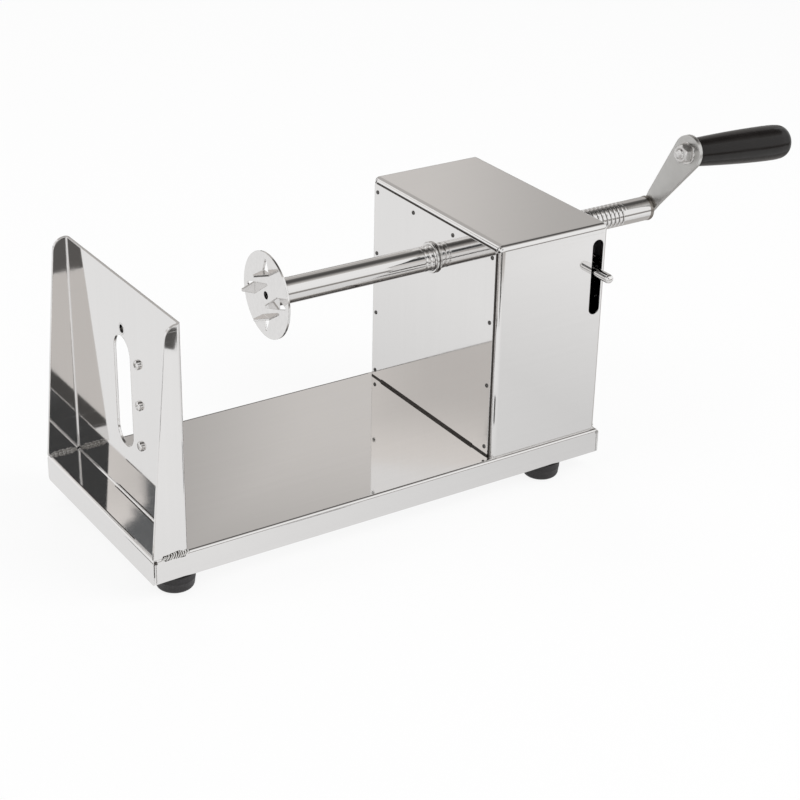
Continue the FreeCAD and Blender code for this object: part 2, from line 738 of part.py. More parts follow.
def make_end_panel(label, start, extra_holes):
    """A flat end panel over the shell's lips, with the shaft's hole and its screw holes."""
    body = new_body(label)
    outline = new_sketch(body, "YZ_Plane", start)
    half = "(housing_width / 2 - housing_bend - panel_play)"
    add_rectangle(outline, f"-{half}", "base_top + panel_play", half,
                  "box_top - housing_bend - panel_play")
    pad(body, outline, "housing_sheet")
    round_edges(body, "housing_bend / 2", lambda edge: near(abs(direction(edge).x), 1))
    holes = new_sketch(body, "YZ_Plane", start)
    add_circle(holes, "0", "axis_z", "sleeve_radius + panel_play")
    for y, z in panel_screw_spots():
        add_circle(holes, y, z, "fine_radius + hole_play / 2")
    for y, z in extra_holes:
        add_circle(holes, y, z, "small_radius + hole_play")
    pocket(body, holes, "housing_sheet", backwards=True)
    place(body)


def make_panel_screws():
    """Ten small pan screws through each end panel into the lip behind it."""
    length = size("2 * housing_sheet + point_reach")
    screw = pan_screw(size("fine_radius"), length, size("fine_head"), size("fine_head_height"))
    spots = [(size(y), size(z)) for y, z in panel_screw_spots()]
    left = size("box_left")
    right = size("box_right")
    group("left_panel_screws", screw, [along_x(left, y, z) for y, z in spots])
    group("right_panel_screws", screw, [against_x(right, y, z) for y, z in spots])


def make_housing_bolts():
    """Four bolts from under the tray through the housing's foot lips, with nuts inside."""
    spots = [(size(x), size(y)) for x, y in housing_bolt_spots()]
    underside = size("base_top - base_sheet")
    lip_top = size("base_top + housing_sheet")
    nut_height = size("bolt_nut_height")
    radius = size("bolt_radius")
    length = lip_top + nut_height + size("nut_reach") - underside
    bolt = pan_screw(radius, length, size("bolt_head"), size("bolt_head_height"))
    group("housing_bolts", bolt, [upward(x, y, underside) for x, y in spots])
    nut = hexagon(size("bolt_nut_flats"), nut_height, radius + size("seat_play"))
    group("housing_nuts", nut, [upward(x, y, lip_top) for x, y in spots])


# ---------------------------------------------------------------- bearings and sleeves

def make_bearing_end(name, side, start, length):
    """A plain bearing behind an end panel, the sleeve that turns in it, and the sleeve's ring.

    Every length is measured inward from the panel's inner face; side is 1 where inward is +X.
    """
    bearing = new_body(name + "_bearing")
    bore = "sleeve_radius + running_gap"
    recess = "ring_radius + rim_play"
    rim = f"{side} * bearing_rim"
    end = f"{side} * ({length})"
    seat = f"{side} * ({length} - ring_recess)"
    revolve(bearing, [
        ("0", bore), ("0", "bearing_rim_radius"), (rim, "bearing_rim_radius"),
        (rim, "bearing_radius"), (end, "bearing_radius"), (end, recess), (seat, recess),
        (seat, bore),
    ])
    place(bearing, start, "0", "axis_z")
    sleeve = new_body(name + "_sleeve")
    bore = "shaft_radius + running_gap"
    outside = f"{-side} * (housing_sheet + rim_play + collar_width)"
    collar = f"{-side} * (housing_sheet + rim_play)"
    inside = f"{side} * ({length} - ring_recess + rim_play + ring_width)"
    revolve(sleeve, [
        (outside, bore), (outside, "collar_radius"), (collar, "collar_radius"),
        (collar, "sleeve_radius"), (inside, "sleeve_radius"), (inside, bore),
    ])
    place(sleeve, start, "0", "axis_z")
    ring = new_body(name + "_ring")
    near_face = f"{side} * ({length} - ring_recess + rim_play)"
    revolve(ring, [
        (near_face, "sleeve_radius"), (near_face, "ring_radius"), (inside, "ring_radius"),
        (inside, "sleeve_radius"),
    ])
    place(ring, start, "0", "axis_z")


# ---------------------------------------------------------------- split nut and cam ring

def make_guide_block():
    """The channel of the half nuts: a plate across the shaft with two upright rails."""
    body = new_body("guide_block")
    outline = new_sketch(body, "YZ_Plane", "jaw_left - block_plate - jaw_side_play")
    half = "(block_width / 2)"
    tall = "(rail_height / 2 + block_corner / 2)"
    add_rectangle(outline, f"-{half}", f"axis_z - {tall}", half, f"axis_z + {tall}")
    pad(body, outline, "block_plate")
    round_edges(body, "block_corner", lambda edge: near(abs(direction(edge).x), 1))
    rails = new_sketch(body, "YZ_Plane", "jaw_left - jaw_side_play")
    inner = "(jaw_width / 2 + jaw_side_play)"
    for side in ("-", ""):
        add_rectangle(rails, f"{side}{inner}", "axis_z - rail_height / 2",
                      f"{side}({inner} + rail_width)", "axis_z + rail_height / 2")
    pad(body, rails, "jaw_depth + jaw_side_play")
    holes = new_sketch(body, "YZ_Plane", "jaw_left - jaw_side_play")
    add_circle(holes, "0", "axis_z", "shaft_radius + block_hole_play")
    for y, z in post_spots("+-"):
        add_circle(holes, y, z, "small_radius + hole_play")
    pocket(body, holes, "block_plate + 1")
    place(body)


def make_guide_posts():
    """Four round posts from the guide block to the right panel or its lip, and their screws."""
    start = size("jaw_left - jaw_side_play")
    outer = size("post_radius")
    bore = size("small_radius + seat_play")
    depth = size("post_thread")
    levels = (("guide_posts_upper", "+", "shell_right - housing_sheet"),
              ("guide_posts_lower", "-", "shell_right"))
    for label, level, end in levels:
        long = size(end) - start
        post = turned((0, bore), (0, outer), (long, outer), (long, bore), (long - depth, bore),
                      (long - depth, 0), (depth, 0), (depth, bore))
        spots = [along_x(start, size(y), size(z)) for y, z in post_spots(level)]
        group(label, post, spots)
    shank = size("small_radius")
    head = size("small_head")
    height = size("small_head_height")
    spots = [(size(y), size(z)) for y, z in post_spots("+-")]
    spare = size("point_reach")
    inner = pan_screw(shank, size("block_plate") + depth - spare, head, height)
    plate = start - size("block_plate")
    group("post_screws_inner", inner, [along_x(plate, y, z) for y, z in spots])
    outer_screw = pan_screw(shank, size("housing_sheet") + depth - spare, head, height)
    right = size("box_right")
    group("post_screws_outer", outer_screw, [against_x(right, y, z) for y, z in spots])


def make_half_nut(label, side):
    """One jaw of the split nut: a block with half the shaft's bore, open by its rest travel."""
    body = new_body(label)
    block = new_sketch(body, "XZ_Plane", "-jaw_width / 2")
    if side > 0:
        add_rectangle(block, "jaw_left", "jaw_parting", "jaw_right", "jaw_height")
    else:
        add_rectangle(block, "jaw_left", "-jaw_height", "jaw_right", "-jaw_parting")
    pad(body, block, "jaw_width")
    bore = new_sketch(body, "YZ_Plane", "jaw_left - 1")
    add_circle(bore, "0", "0", "shaft_radius + jaw_gap")
    pocket(body, bore, "jaw_depth + 2", backwards=True)
    seat = new_sketch(body, "YZ_Plane", "jaw_right - pin_seat")
    add_circle(seat, "0", f"{side} * pin_orbit", "pin_radius + seat_play")
    pocket(body, seat, "pin_seat + 1", backwards=True)
    outer = size("jaw_height")

    def outside(edge):
        return near(abs(middle(edge).z), outer) and near(abs(direction(edge).x), 1)

    round_edges(body, "jaw_height / 8", outside)
    place(body, "0", "0", f"axis_z + {side} * jaw_rest")


def make_pin(label, side):
    """The pin of a half nut, which runs in the cam ring's slot."""
    body = new_body(label)
    end = "pin_seat + nut_play + cam_width - rim_play"
    revolve(body, [("0", "0"), ("0", "pin_radius"), (f"{end} - pin_edge", "pin_radius"),
                   (end, "pin_radius - pin_edge"), (end, "0")])
    place(body, "jaw_right - pin_seat", "0", f"axis_z + {side} * (pin_orbit + jaw_rest)")


def cam_slot(turn):
    """One spiral slot: the pin's orbit grows by the jaws' travel over the lever's whole swing."""
    orbit = size("pin_orbit")
    fall = math.radians(size("lever_fall"))
    lift = math.radians(size("lever_lift"))
    rise = size("jaw_travel") / (fall + lift)
    half = (size("pin_radius") + size("pin_play")) / math.cos(math.atan(rise / orbit))
    over = half / orbit + 0.02
    first = -fall - over
    last = lift + over
    steps = 8

    def edge_point(angle, offset):
        radius = orbit + rise * (angle + fall) + offset
        heading = turn + angle
        return FreeCAD.Vector(0, radius * math.cos(heading), radius * math.sin(heading))

    angles = [first + (last - first) * step / steps for step in range(steps + 1)]
    inside = [edge_point(angle, -half) for angle in angles]
    outside = [edge_point(angle, half) for angle in reversed(angles)]
    inner = Part.BSplineCurve()
    inner.interpolate(inside)
    outer = Part.BSplineCurve()
    outer.interpolate(outside)
    edges = [inner.toShape(), Part.makeLine(inside[-1], outside[0]),
             outer.toShape(), Part.makeLine(outside[-1], inside[0])]
    width = size("cam_width")
    face = Part.Face(Part.Wire(edges))
    face.translate(FreeCAD.Vector(-width, 0, 0))
    return face.extrude(FreeCAD.Vector(2 * width, 0, 0))


def make_cam_ring():
    """The ring that the lever turns: two spiral slots for the pins and a bore for the lever."""
    width = size("cam_width")
    radius = size("cam_radius")
    bore = size("bearing_radius + cam_play")
    rim = size("pin_edge")
    ring = turned((-width / 2, bore), (-width / 2, radius - rim), (rim - width / 2, radius),
                  (width / 2 - rim, radius), (width / 2, radius - rim), (width / 2, bore))
    for turn in (math.pi / 2, 3 * math.pi / 2):
        ring = ring.cut(cam_slot(turn))
    lever_hole = Part.makeCylinder(size("lever_radius + seat_play"), radius,
                                   FreeCAD.Vector(0, -size("lever_root"), 0),
                                   FreeCAD.Vector(0, -1, 0))
    ring = ring.cut(lever_hole)
    item = doc.addObject("Part::Feature", "cam_ring")
    item.Label = "cam_ring"
    item.Shape = ring
    place(item, "lever_x", "0", "axis_z")
    nodes.append(item)


def make_lever_rod():
    """The lever: a round rod from the cam ring out through the slot, with a domed end."""
    body = new_body("lever_rod")
    length = "(front_reach - lever_root)"
    revolve(body, [("0", "0"), ("0", "lever_radius"),
                   (f"{length} - lever_radius", "lever_radius", "lever_radius"), (length, "0")])
    turn = FreeCAD.Rotation(FreeCAD.Vector(0, 0, 1), -90)
    place(body, "lever_x", "-lever_root", "axis_z", turn)


# ---------------------------------------------------------------- shaft and pusher

def make_shaft():
    """The feed shaft's tube and the plugs in its two ends."""
    tube = new_body("push_shaft")
    revolve(tube, [
        ("0", "shaft_bore"), ("0", "shaft_radius"), ("shaft_length", "shaft_radius"),
        ("shaft_length", "shaft_bore"),
    ])
    place(tube, "shaft_start", "0", "axis_z")
    hub = new_body("pusher_hub")
    revolve(hub, [("0", "guide_bore"), ("0", "shaft_bore"), ("hub_length", "shaft_bore"),
                  ("hub_length", "guide_bore")])
    place(hub, "shaft_start", "0", "axis_z")
    plug = new_body("shaft_plug")
    revolve(plug, [("-plug_length", "0"), ("-plug_length", "shaft_bore"),
                   ("0", "shaft_bore"), ("0", "0")])
    place(plug, "shaft_end", "0", "axis_z")


def make_pusher_disc():
    """The disc that drives the potato: teeth cut out of the sheet and bent up at their roots."""
    body = new_body("pusher_disc")
    disc = new_sketch(body, "YZ_Plane")
    add_circle(disc, "0", "0", "disc_radius")
    add_circle(disc, "0", "0", "guide_bore")
    pad(body, disc, "disc_sheet")
    window = new_sketch(body, "YZ_Plane")
    root = "(tooth_orbit + disc_sheet)"
    tip = "(tooth_orbit + disc_sheet + tooth_length)"
    add_outline(window, [(root, "-tooth_base / 2"), (tip, "-tooth_base / 12"),
                         (tip, "tooth_base / 12"), (root, "tooth_base / 2")])
    cut = pocket(body, window, "disc_sheet", backwards=True)
    tooth = new_sketch(body, "XZ_Plane", "-tooth_base / 2")
    add_outline(tooth, [("disc_sheet / 2", "tooth_orbit"), ("disc_sheet / 2", root),
                        ("-tooth_length", root), ("-tooth_length", "tooth_orbit")])
    blade = pad(body, tooth, "tooth_base")
    flanks = new_sketch(body, "XY_Plane", "tooth_orbit - 1")
    for side in ("-", ""):
        add_outline(flanks, [("0", f"{side}tooth_base / 2"),
                             ("-tooth_length", f"{side}tooth_base / 12"),
                             ("-tooth_length - 1", f"{side}tooth_base / 12"),
                             ("-tooth_length - 1", f"{side}(tooth_base / 2 + 1)"),
                             ("0", f"{side}(tooth_base / 2 + 1)")])
    trim = pocket(body, flanks, "disc_sheet + 2", backwards=True)
    pattern = body.newObject("PartDesign::PolarPattern", "Teeth")
    pattern.Originals = [cut, blade, trim]
    axis = [item for item in body.Origin.OriginFeatures if item.Role == "X_Axis"][0]
    pattern.Axis = (axis, [""])
    pattern.Angle = 360
    pattern.Occurrences = TOOTH_COUNT
    body.Tip = pattern
    doc.recompute()
    place(body, "shaft_start - disc_sheet", "0", "axis_z")


# ---------------------------------------------------------------- crank

def crank_place(item, along="0", lean=True):
    """Puts a piece of the crank at the arm's hole, with +X along the spindle."""
    tilt = size("crank_tilt")
    turn = FreeCAD.Rotation(FreeCAD.Vector(1, 0, 0), tilt)
    if lean:
        turn = turn * FreeCAD.Rotation(FreeCAD.Vector(0, 1, 0), size("crank_lean"))
    x = f"shaft_end + hole_x + ({along}) * cos(crank_lean)"
    reach = f"(crank_radius - ({along}) * sin(crank_lean))"
    place(item, x, f"-{reach} * sin(crank_tilt)", f"axis_z + {reach} * cos(crank_tilt)", turn)


def add_tapered_bar(sketch, low_radius, distance, high_radius):
    """An upright bar's outline: a round end at the origin, a bigger one above, tangent sides."""
    low = size(low_radius)
    high = size(high_radius)
    reach = size(distance)
    slope = math.asin((high - low) / reach)
    normal = FreeCAD.Vector(0, 0, 1)
    top = Part.Circle(FreeCAD.Vector(0, reach, 0), normal, high)
    bottom = Part.Circle(FreeCAD.Vector(), normal, low)
    ends = [(low * math.cos(slope), -low * math.sin(slope)),
            (high * math.cos(slope), reach - high * math.sin(slope))]
    lower, upper = [FreeCAD.Vector(x, y, 0) for x, y in ends]
    lower_left, upper_left = [FreeCAD.Vector(-x, y, 0) for x, y in ends]
    first = sketch.GeometryCount
    sketch.addGeometry(Part.ArcOfCircle(top, -slope, math.pi + slope))
    sketch.addGeometry(Part.LineSegment(upper_left, lower_left))
    sketch.addGeometry(Part.ArcOfCircle(bottom, math.pi + slope, 2 * math.pi - slope))
    sketch.addGeometry(Part.LineSegment(lower, upper))
    for number in range(4):
        following = first + (number + 1) % 4
        sketch.addConstraint(Sketcher.Constraint("Tangent", first + number, 2, following, 1))
    pin_point(sketch, first, 3, "0", distance)
    pin_point(sketch, first + 2, 3, "0", "0")
    pin_radius(sketch, first, high_radius)
    pin_radius(sketch, first + 2, low_radius)


def make_crank_arm():
    """The arm: a tapered flat bar with round ends, bent outward just above the shaft."""
    body = new_body("crank_arm")
    outline = new_sketch(body, "YZ_Plane")
    add_tapered_bar(outline, "crank_root", "crank_radius", "crank_eye")
    stock = "(crank_sheet + crank_radius / 4)"
    pad(body, outline, stock)
    side = new_sketch(body, "XZ_Plane", "-crank_eye - 1")
    below = "-crank_root - 1"
    above = "(crank_radius + crank_eye + 1)"
    drift = f"({above} - crank_straight) * tan(crank_lean)"
    add_outline(side, [("-1", "crank_straight"), ("0", "crank_straight"), (drift, above),
                       ("-1", above)])
    add_outline(side, [
        ("crank_sheet", below),
        ("crank_sheet", "crank_straight - crank_sheet * tan(crank_lean / 2)"),
        (f"{drift} + crank_sheet / cos(crank_lean)", above),
        (f"{stock} + 1", above), (f"{stock} + 1", below),
    ])
    pocket(body, side, "2 * crank_eye + 2", backwards=True)
    hole = new_sketch(body, "YZ_Plane", "hole_x + 2 * crank_sheet * cos(crank_lean)")
    add_circle(hole, "0", "0", "spindle_radius + hole_play")
    lean = FreeCAD.Rotation(FreeCAD.Vector(1, 0, 0), size("crank_lean"))
    hole.AttachmentOffset = FreeCAD.Placement(FreeCAD.Vector(), lean)
    hole.setExpression("AttachmentOffset.Base.y",
                       bound("crank_radius - 2 * crank_sheet * sin(crank_lean)"))
    pocket(body, hole, "4 * crank_sheet")
    tilt = FreeCAD.Rotation(FreeCAD.Vector(1, 0, 0), size("crank_tilt"))
    place(body, "shaft_end", "0", "axis_z", tilt)


def make_spindle():
    """The grip's shouldered bolt, its nut on the arm's left face and the washer on the right."""
    body = new_body("grip_spindle")
    tip = "-nut_height - spindle_stand"
    shoulder = "crank_sheet + washer_sheet"
    head = "grip_from_arm + grip_length - grip_recess + grip_play"
    revolve(body, [
        (tip, "0"), (tip, "spindle_radius - pin_edge"), (f"{tip} + pin_edge", "spindle_radius"),
        (shoulder, "spindle_radius"), (shoulder, "shoulder_radius"), (head, "shoulder_radius"),
        (head, "spindle_head_radius"), (f"{head} + spindle_head", "spindle_head_radius"),
        (f"{head} + spindle_head", "0"),
    ])
    crank_place(body)
    nut = doc.addObject("Part::Feature", "spindle_nut")
    nut.Label = "spindle_nut"
    nut.Shape = hexagon(size("nut_flats"), size("nut_height"),
                        size("spindle_radius + seat_play"))
    crank_place(nut, "-nut_height")
    nodes.append(nut)
    washer = new_body("grip_washer")
    bore = "spindle_radius + hole_play"
    revolve(washer, [("0", bore), ("0", "washer_radius"), ("washer_sheet", "washer_radius"),
                     ("washer_sheet", bore)])
    crank_place(washer, "crank_sheet")


def grip_radius(along):
    """The grip's radius at a share of the way from neck to belly, or past it to the far end."""
    if along <= 1:
        return f"grip_belly - (grip_belly - grip_neck) * {(1 - along) ** 2}"
    return f"grip_belly - (grip_belly - grip_end_radius) * {(along - 1) ** 2}"


def make_grip():
    """The turned grip, swelling toward its far end, and the plug over the spindle's head."""
    body = new_body("grip")
    bore = "shoulder_radius + grip_play"
    rear = "(grip_length - grip_belly_from_arm)"
    profile = [("0", bore), ("0", "grip_neck - neck_edge")]
    for share in (0, 0.25, 0.5, 0.75, 1):
        profile.append((f"neck_edge + {share} * (grip_belly_from_arm - neck_edge)",
                        grip_radius(share)))
    profile.append((f"grip_belly_from_arm + {rear} / 2", grip_radius(1.5)))
    profile += [
        ("grip_length - grip_end_round", "grip_end_radius", "grip_end_round"),
        ("grip_length", "grip_end_radius - grip_end_round"),
        ("grip_length", "grip_recess_radius"),
        ("grip_length - grip_recess", "grip_recess_radius"),
        ("grip_length - grip_recess", bore),
    ]
    revolve(body, profile)
    crank_place(body, "grip_from_arm")
    cap = new_body("grip_cap")
    revolve(cap, [("-cap_height", "0"), ("-cap_height", "grip_recess_radius"),
                  ("-cap_height / 6", "grip_recess_radius"),
                  ("0", "grip_recess_radius - cap_height / 6"), ("0", "0")])
    crank_place(cap, "grip_from_arm + grip_length")


# ---------------------------------------------------------------- all of it

def check_and_export():
    """Stops on any failed object or bad shape, and writes one STEP file for each node."""
    doc.recompute()
    for item in doc.Objects:
        if "Invalid" in item.State or "Error" in item.State:
            raise RuntimeError(f"{item.Label} failed: {item.State}")
    os.makedirs("parts", exist_ok=True)
    for node in nodes:
        shape = node.Shape
        if shape.isNull() or not shape.isValid():
            raise RuntimeError(f"{node.Label} has a bad shape")
        shape.exportStep(f"parts/{node.Label}.step")
        box = shape.BoundBox
        print(f"{node.Label}: {len(shape.Solids)} solids, {shape.Volume:.0f} mm3, "
              f"x {box.XMin:.2f} {box.XMax:.2f}, y {box.YMin:.2f} {box.YMax:.2f}, "
              f"z {box.ZMin:.2f} {box.ZMax:.2f}")


fill_sheet()
make_base_tray()
make_feet()
make_foot_fasteners()
make_blade_bracket()
make_skewer_guide()
make_blade()
make_blade_screws()
make_housing_shell()
make_end_panel("housing_left_panel", "box_left", [])
make_end_panel("housing_right_panel", "shell_right", post_spots("+-"))
make_panel_screws()
make_housing_bolts()
make_bearing_end("left", 1, "shell_left", "bearing_length")
make_bearing_end("right", -1, "shell_right", "(shell_right - cam_left)")
make_guide_block()
make_guide_posts()
make_half_nut("upper_half_nut", 1)
make_half_nut("lower_half_nut", -1)
make_pin("upper_pin", 1)
make_pin("lower_pin", -1)
make_cam_ring()
make_lever_rod()
make_shaft()
make_pusher_disc()
make_crank_arm()
make_spindle()
make_grip()
check_and_export()
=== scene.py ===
"""Looks of a hand-cranked spiral cutter: bright folded sheet, turned steel, rubber, gloss grip."""

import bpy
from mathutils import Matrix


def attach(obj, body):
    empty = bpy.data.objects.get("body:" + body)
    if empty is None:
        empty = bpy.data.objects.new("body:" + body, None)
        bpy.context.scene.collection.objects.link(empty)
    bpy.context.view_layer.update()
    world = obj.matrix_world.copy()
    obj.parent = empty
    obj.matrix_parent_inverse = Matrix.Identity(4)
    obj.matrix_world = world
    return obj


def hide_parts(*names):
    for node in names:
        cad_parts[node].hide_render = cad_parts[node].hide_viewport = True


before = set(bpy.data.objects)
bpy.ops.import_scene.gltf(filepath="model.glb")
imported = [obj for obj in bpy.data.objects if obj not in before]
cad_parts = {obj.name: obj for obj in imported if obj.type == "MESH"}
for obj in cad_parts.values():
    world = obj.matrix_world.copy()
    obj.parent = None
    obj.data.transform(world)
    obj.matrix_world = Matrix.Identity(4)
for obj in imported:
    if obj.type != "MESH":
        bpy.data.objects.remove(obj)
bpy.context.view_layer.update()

import math
import random

import bmesh
import bpy
from mathutils import Matrix, Vector

# The maker's drawing, in millimetres, has its zero under the middle of the tray's left end.
DRAWING_ZERO = (-296.324377, 7.25, 0.0)
MM = 0.001
AXIS_Z = 163.2
FULL_TURN = 2 * math.pi


def spot(x, y, z):
    """A point of the drawing as a point of the frame, in metres."""
    zero = DRAWING_ZERO
    return Vector(((x + zero[0]) * MM, (y + zero[1]) * MM, (z + zero[2]) * MM))


def place_object(name, data):
    """A new object in the scene with its mesh, lamp or camera."""
    placed = bpy.data.objects.new(name, data)
    bpy.context.scene.collection.objects.link(placed)
    return placed


# ------------------------------------------------------------------ camera

CAMERA_SPOT = (-468.058, -1089.022, 705.595)
CAMERA_YAW = 0.5835
CAMERA_PITCH = -0.4646
CAMERA_ROLL = 0.0223
CAMERA_LENS = 86.62


def make_camera():
    """The camera that looks along the machine from its front left."""
    camera = place_object("camera", bpy.data.cameras.new("camera"))
    level = math.cos(CAMERA_PITCH)
    ahead = Vector((math.sin(CAMERA_YAW) * level, math.cos(CAMERA_YAW) * level,
                    math.sin(CAMERA_PITCH)))
    right = Vector((math.cos(CAMERA_YAW), -math.sin(CAMERA_YAW), 0))
    up = right.cross(ahead)
    tilt, rest = math.sin(CAMERA_ROLL), math.cos(CAMERA_ROLL)
    columns = Matrix((rest * right + tilt * up, rest * up - tilt * right, -ahead))
    camera.matrix_world = Matrix.Translation(spot(*CAMERA_SPOT)) @ columns.transposed().to_4x4()
    camera.data.lens = CAMERA_LENS
    camera.data.sensor_width = 36
    camera.data.clip_end = 50
    bpy.context.scene.camera = camera


# ------------------------------------------------------------------ node building

def fill(tree, node, inputs):
    """Gives a node's inputs their values, or joins them to sockets."""
    for name, value in inputs.items():
        if isinstance(value, bpy.types.NodeSocket):
            tree.links.new(value, node.inputs[name])
        else:
            node.inputs[name].default_value = value


def add(tree, kind, inputs=None, **settings):
    """Adds one node. Inputs are values or sockets by name or number, settings its own choices."""
    made = tree.nodes.new("ShaderNode" + kind)
    for name, value in settings.items():
        setattr(made, name, value)
    fill(tree, made, inputs or {})
    return made


def math_step(tree, operation, *values):
    """One step of arithmetic on sockets or numbers."""
    return add(tree, "Math", dict(enumerate(values)), operation=operation).outputs[0]


def spread(tree, value, low, high, to_low=0.0, to_high=1.0):
    """Maps a range of values onto another, and stops at its ends."""
    return add(tree, "MapRange", {"Value": value, "From Min": low, "From Max": high,
                                  "To Min": to_low, "To Max": to_high}).outputs[0]


def noise(tree, place, scale, detail, **more):
    """Cloudy noise between 0 and 1, with as many clouds to the metre as the scale."""
    return add(tree, "TexNoise", {"Vector": place, "Scale": scale, "Detail": detail,
                                  **more}).outputs["Fac"]


def mix_colours(tree, share, low, high):
    """A colour that goes from one to another with the share."""
    return add(tree, "Mix", {"Factor": share, "A": (*low, 1), "B": (*high, 1)},
               data_type="RGBA").outputs["Result"]


def bump(tree, height, metres, **more):
    """A relief some metres high on the surface, or on the Normal that is given."""
    return add(tree, "Bump", {"Strength": 1.0, "Distance": metres, "Height": height,
                              **more}).outputs[0]


def new_group(name, inputs, outputs):
    """An empty shader node group, the sockets that it is given, and its end."""
    group = bpy.data.node_groups.new(name, "ShaderNodeTree")
    for socket, kind, value in inputs:
        made = group.interface.new_socket(socket, in_out="INPUT", socket_type="NodeSocket" + kind)
        if value is not None:
            made.default_value = value
    for socket, kind in outputs:
        group.interface.new_socket(socket, in_out="OUTPUT", socket_type="NodeSocket" + kind)
    given = group.nodes.new("NodeGroupInput").outputs
    return group, given, group.nodes.new("NodeGroupOutput")


BELT_LINES = (40.0, 3000.0, 3000.0)


def make_grain_group():
    """Fine parallel scratches of a polishing belt, as many to the metre as Stretch says."""
    group, given, end = new_group(
        "belt grain", [("Place", "Vector", None), ("Stretch", "Vector", BELT_LINES)],
        [("Height", "Float"), ("Tone", "Float")])
    place = add(group, "VectorMath", {0: given["Place"], 1: given["Stretch"]},
                operation="MULTIPLY").outputs[0]
    slow = add(group, "VectorMath", {0: place, "Scale": 0.11}, operation="SCALE").outputs[0]
    fine = noise(group, place, 1.0, 3.0, Roughness=0.65)
    broad = noise(group, slow, 1.0, 2.0)
    fill(group, end, {
        "Height": math_step(group, "ADD", fine, math_step(group, "MULTIPLY", broad, 0.6)),
        "Tone": spread(group, broad, 0.3, 0.7)})
    return group


def make_marks_group():
    """Hazy patches left by hands and cloths, and a few hair scratches."""
    group, given, end = new_group(
        "handling marks", [("Place", "Vector", None), ("Patch", "Float", 22.0)],
        [("Haze", "Float"), ("Scratch", "Float")])
    patches = noise(group, given["Place"], given["Patch"], 4.0, Roughness=0.55, Distortion=0.6)
    turned = add(group, "Mapping", {"Vector": given["Place"], "Rotation": (0.4, 0.7, 0.55),
                                    "Scale": (14.0, 900.0, 900.0)}).outputs[0]
    hairs = noise(group, turned, 1.0, 0.0)
    fill(group, end, {"Haze": spread(group, patches, 0.42, 0.72),
                      "Scratch": spread(group, hairs, 0.74, 0.8)})
    return group


def make_edge_group():
    """Rounds the look of sharp edges, as cloths rub them."""
    group, given, end = new_group(
        "rubbed edges", [("Radius", "Float", 0.0006)], [("Normal", "Vector")])
    soft = add(group, "Bevel", {"Radius": given["Radius"]}, samples=6).outputs[0]
    fill(group, end, {"Normal": soft})
    return group


def make_dust_group():
    """Pale lint and dry wipe marks that lie on black rubber and plastic."""
    group, given, end = new_group(
        "fine dust", [("Place", "Vector", None), ("Amount", "Float", 0.3)], [("Mask", "Float")])
    cloud = noise(group, given["Place"], 60.0, 5.0)
    specks = add(group, "TexVoronoi", {"Vector": given["Place"],
                                       "Scale": 900.0}).outputs["Distance"]
    both = math_step(group, "MULTIPLY", spread(group, cloud, 0.4, 0.8),
                     spread(group, specks, 0.35, 0.05))
    fill(group, end, {"Mask": math_step(group, "MULTIPLY", both, given["Amount"])})
    return group


GRAIN = make_grain_group()
MARKS = make_marks_group()
EDGES = make_edge_group()
DUST = make_dust_group()


def use(tree, group, inputs):
    """Places a group in a material with its own values."""
    return add(tree, "Group", inputs, node_tree=group).outputs


def new_material(name):
    """A material with a Principled shader, its tree and the place on the surface."""
    material = bpy.data.materials.new(name)
    material.use_nodes = True
    tree = material.node_tree
    shader = next(n for n in tree.nodes if n.type == "BSDF_PRINCIPLED")
    place = add(tree, "TexCoord").outputs["Object"]
    return material, tree, shader, place


# Patches and swells to the metre, and what a scratch adds to the roughness.
HAND_PATCHES = 22.0
SHEET_SWELLS = 9.0
SCRATCH_DULLNESS = 0.05


def steel(name, colour, rough, haze=0.05, stretch=BELT_LINES, depth=0.00001, tone=0.05,
          edge=0.0005, wave=0.0):
    """Bright steel: belt grain, hand haze, hair scratches and rubbed edges, in given amounts."""
    material, tree, shader, place = new_material(name)
    grain = use(tree, GRAIN, {"Place": place, "Stretch": stretch})
    marks = use(tree, MARKS, {"Place": place, "Patch": HAND_PATCHES})
    normal = use(tree, EDGES, {"Radius": edge})["Normal"]
    dull = tuple(c * (1 - tone) for c in colour)
    hazed = math_step(tree, "MULTIPLY_ADD", marks["Haze"], haze, rough)
    if wave:
        swell = noise(tree, place, SHEET_SWELLS, 1.0, Roughness=0.3)
        normal = bump(tree, swell, wave, Normal=normal)
    fill(tree, shader, {
        "Base Color": mix_colours(tree, grain["Tone"], dull, colour),
        "Roughness": math_step(tree, "MULTIPLY_ADD", marks["Scratch"], SCRATCH_DULLNESS, hazed),
        "Normal": bump(tree, grain["Height"], depth, Normal=normal),
        "Metallic": 1.0})
    return material


def rubber(name):
    """Moulded black rubber: matt, finely pitted and a little dusty."""
    material, tree, shader, place = new_material(name)
    dust = use(tree, DUST, {"Place": place, "Amount": 0.25})
    edges = use(tree, EDGES, {"Radius": 0.0008})
    pits = noise(tree, place, 1400.0, 2.0)
    fill(tree, shader, {
        "Base Color": mix_colours(tree, dust["Mask"], (0.030, 0.028, 0.029), (0.15, 0.145, 0.14)),
        "Roughness": spread(tree, pits, 0.3, 0.7, 0.42, 0.62),
        "Normal": bump(tree, pits, 0.00004, Normal=edges["Normal"]),
        "Specular IOR Level": 0.4})
    return material


def black_gloss(name):
    """Polished black plastic: deep gloss with faint flow waves, wipe marks and lint."""
    material, tree, shader, place = new_material(name)
    dust = use(tree, DUST, {"Place": place, "Amount": 0.12})
    marks = use(tree, MARKS, {"Place": place, "Patch": 45.0})
    fill(tree, shader, {
        "Base Color": mix_colours(tree, dust["Mask"], (0.009, 0.0075, 0.007), (0.1, 0.095, 0.09)),
        "Roughness": math_step(tree, "MULTIPLY_ADD", marks["Haze"], 0.10, 0.14),
        "Normal": bump(tree, noise(tree, place, 90.0, 1.0), 0.0002),
        "Specular IOR Level": 0.26})
    return material


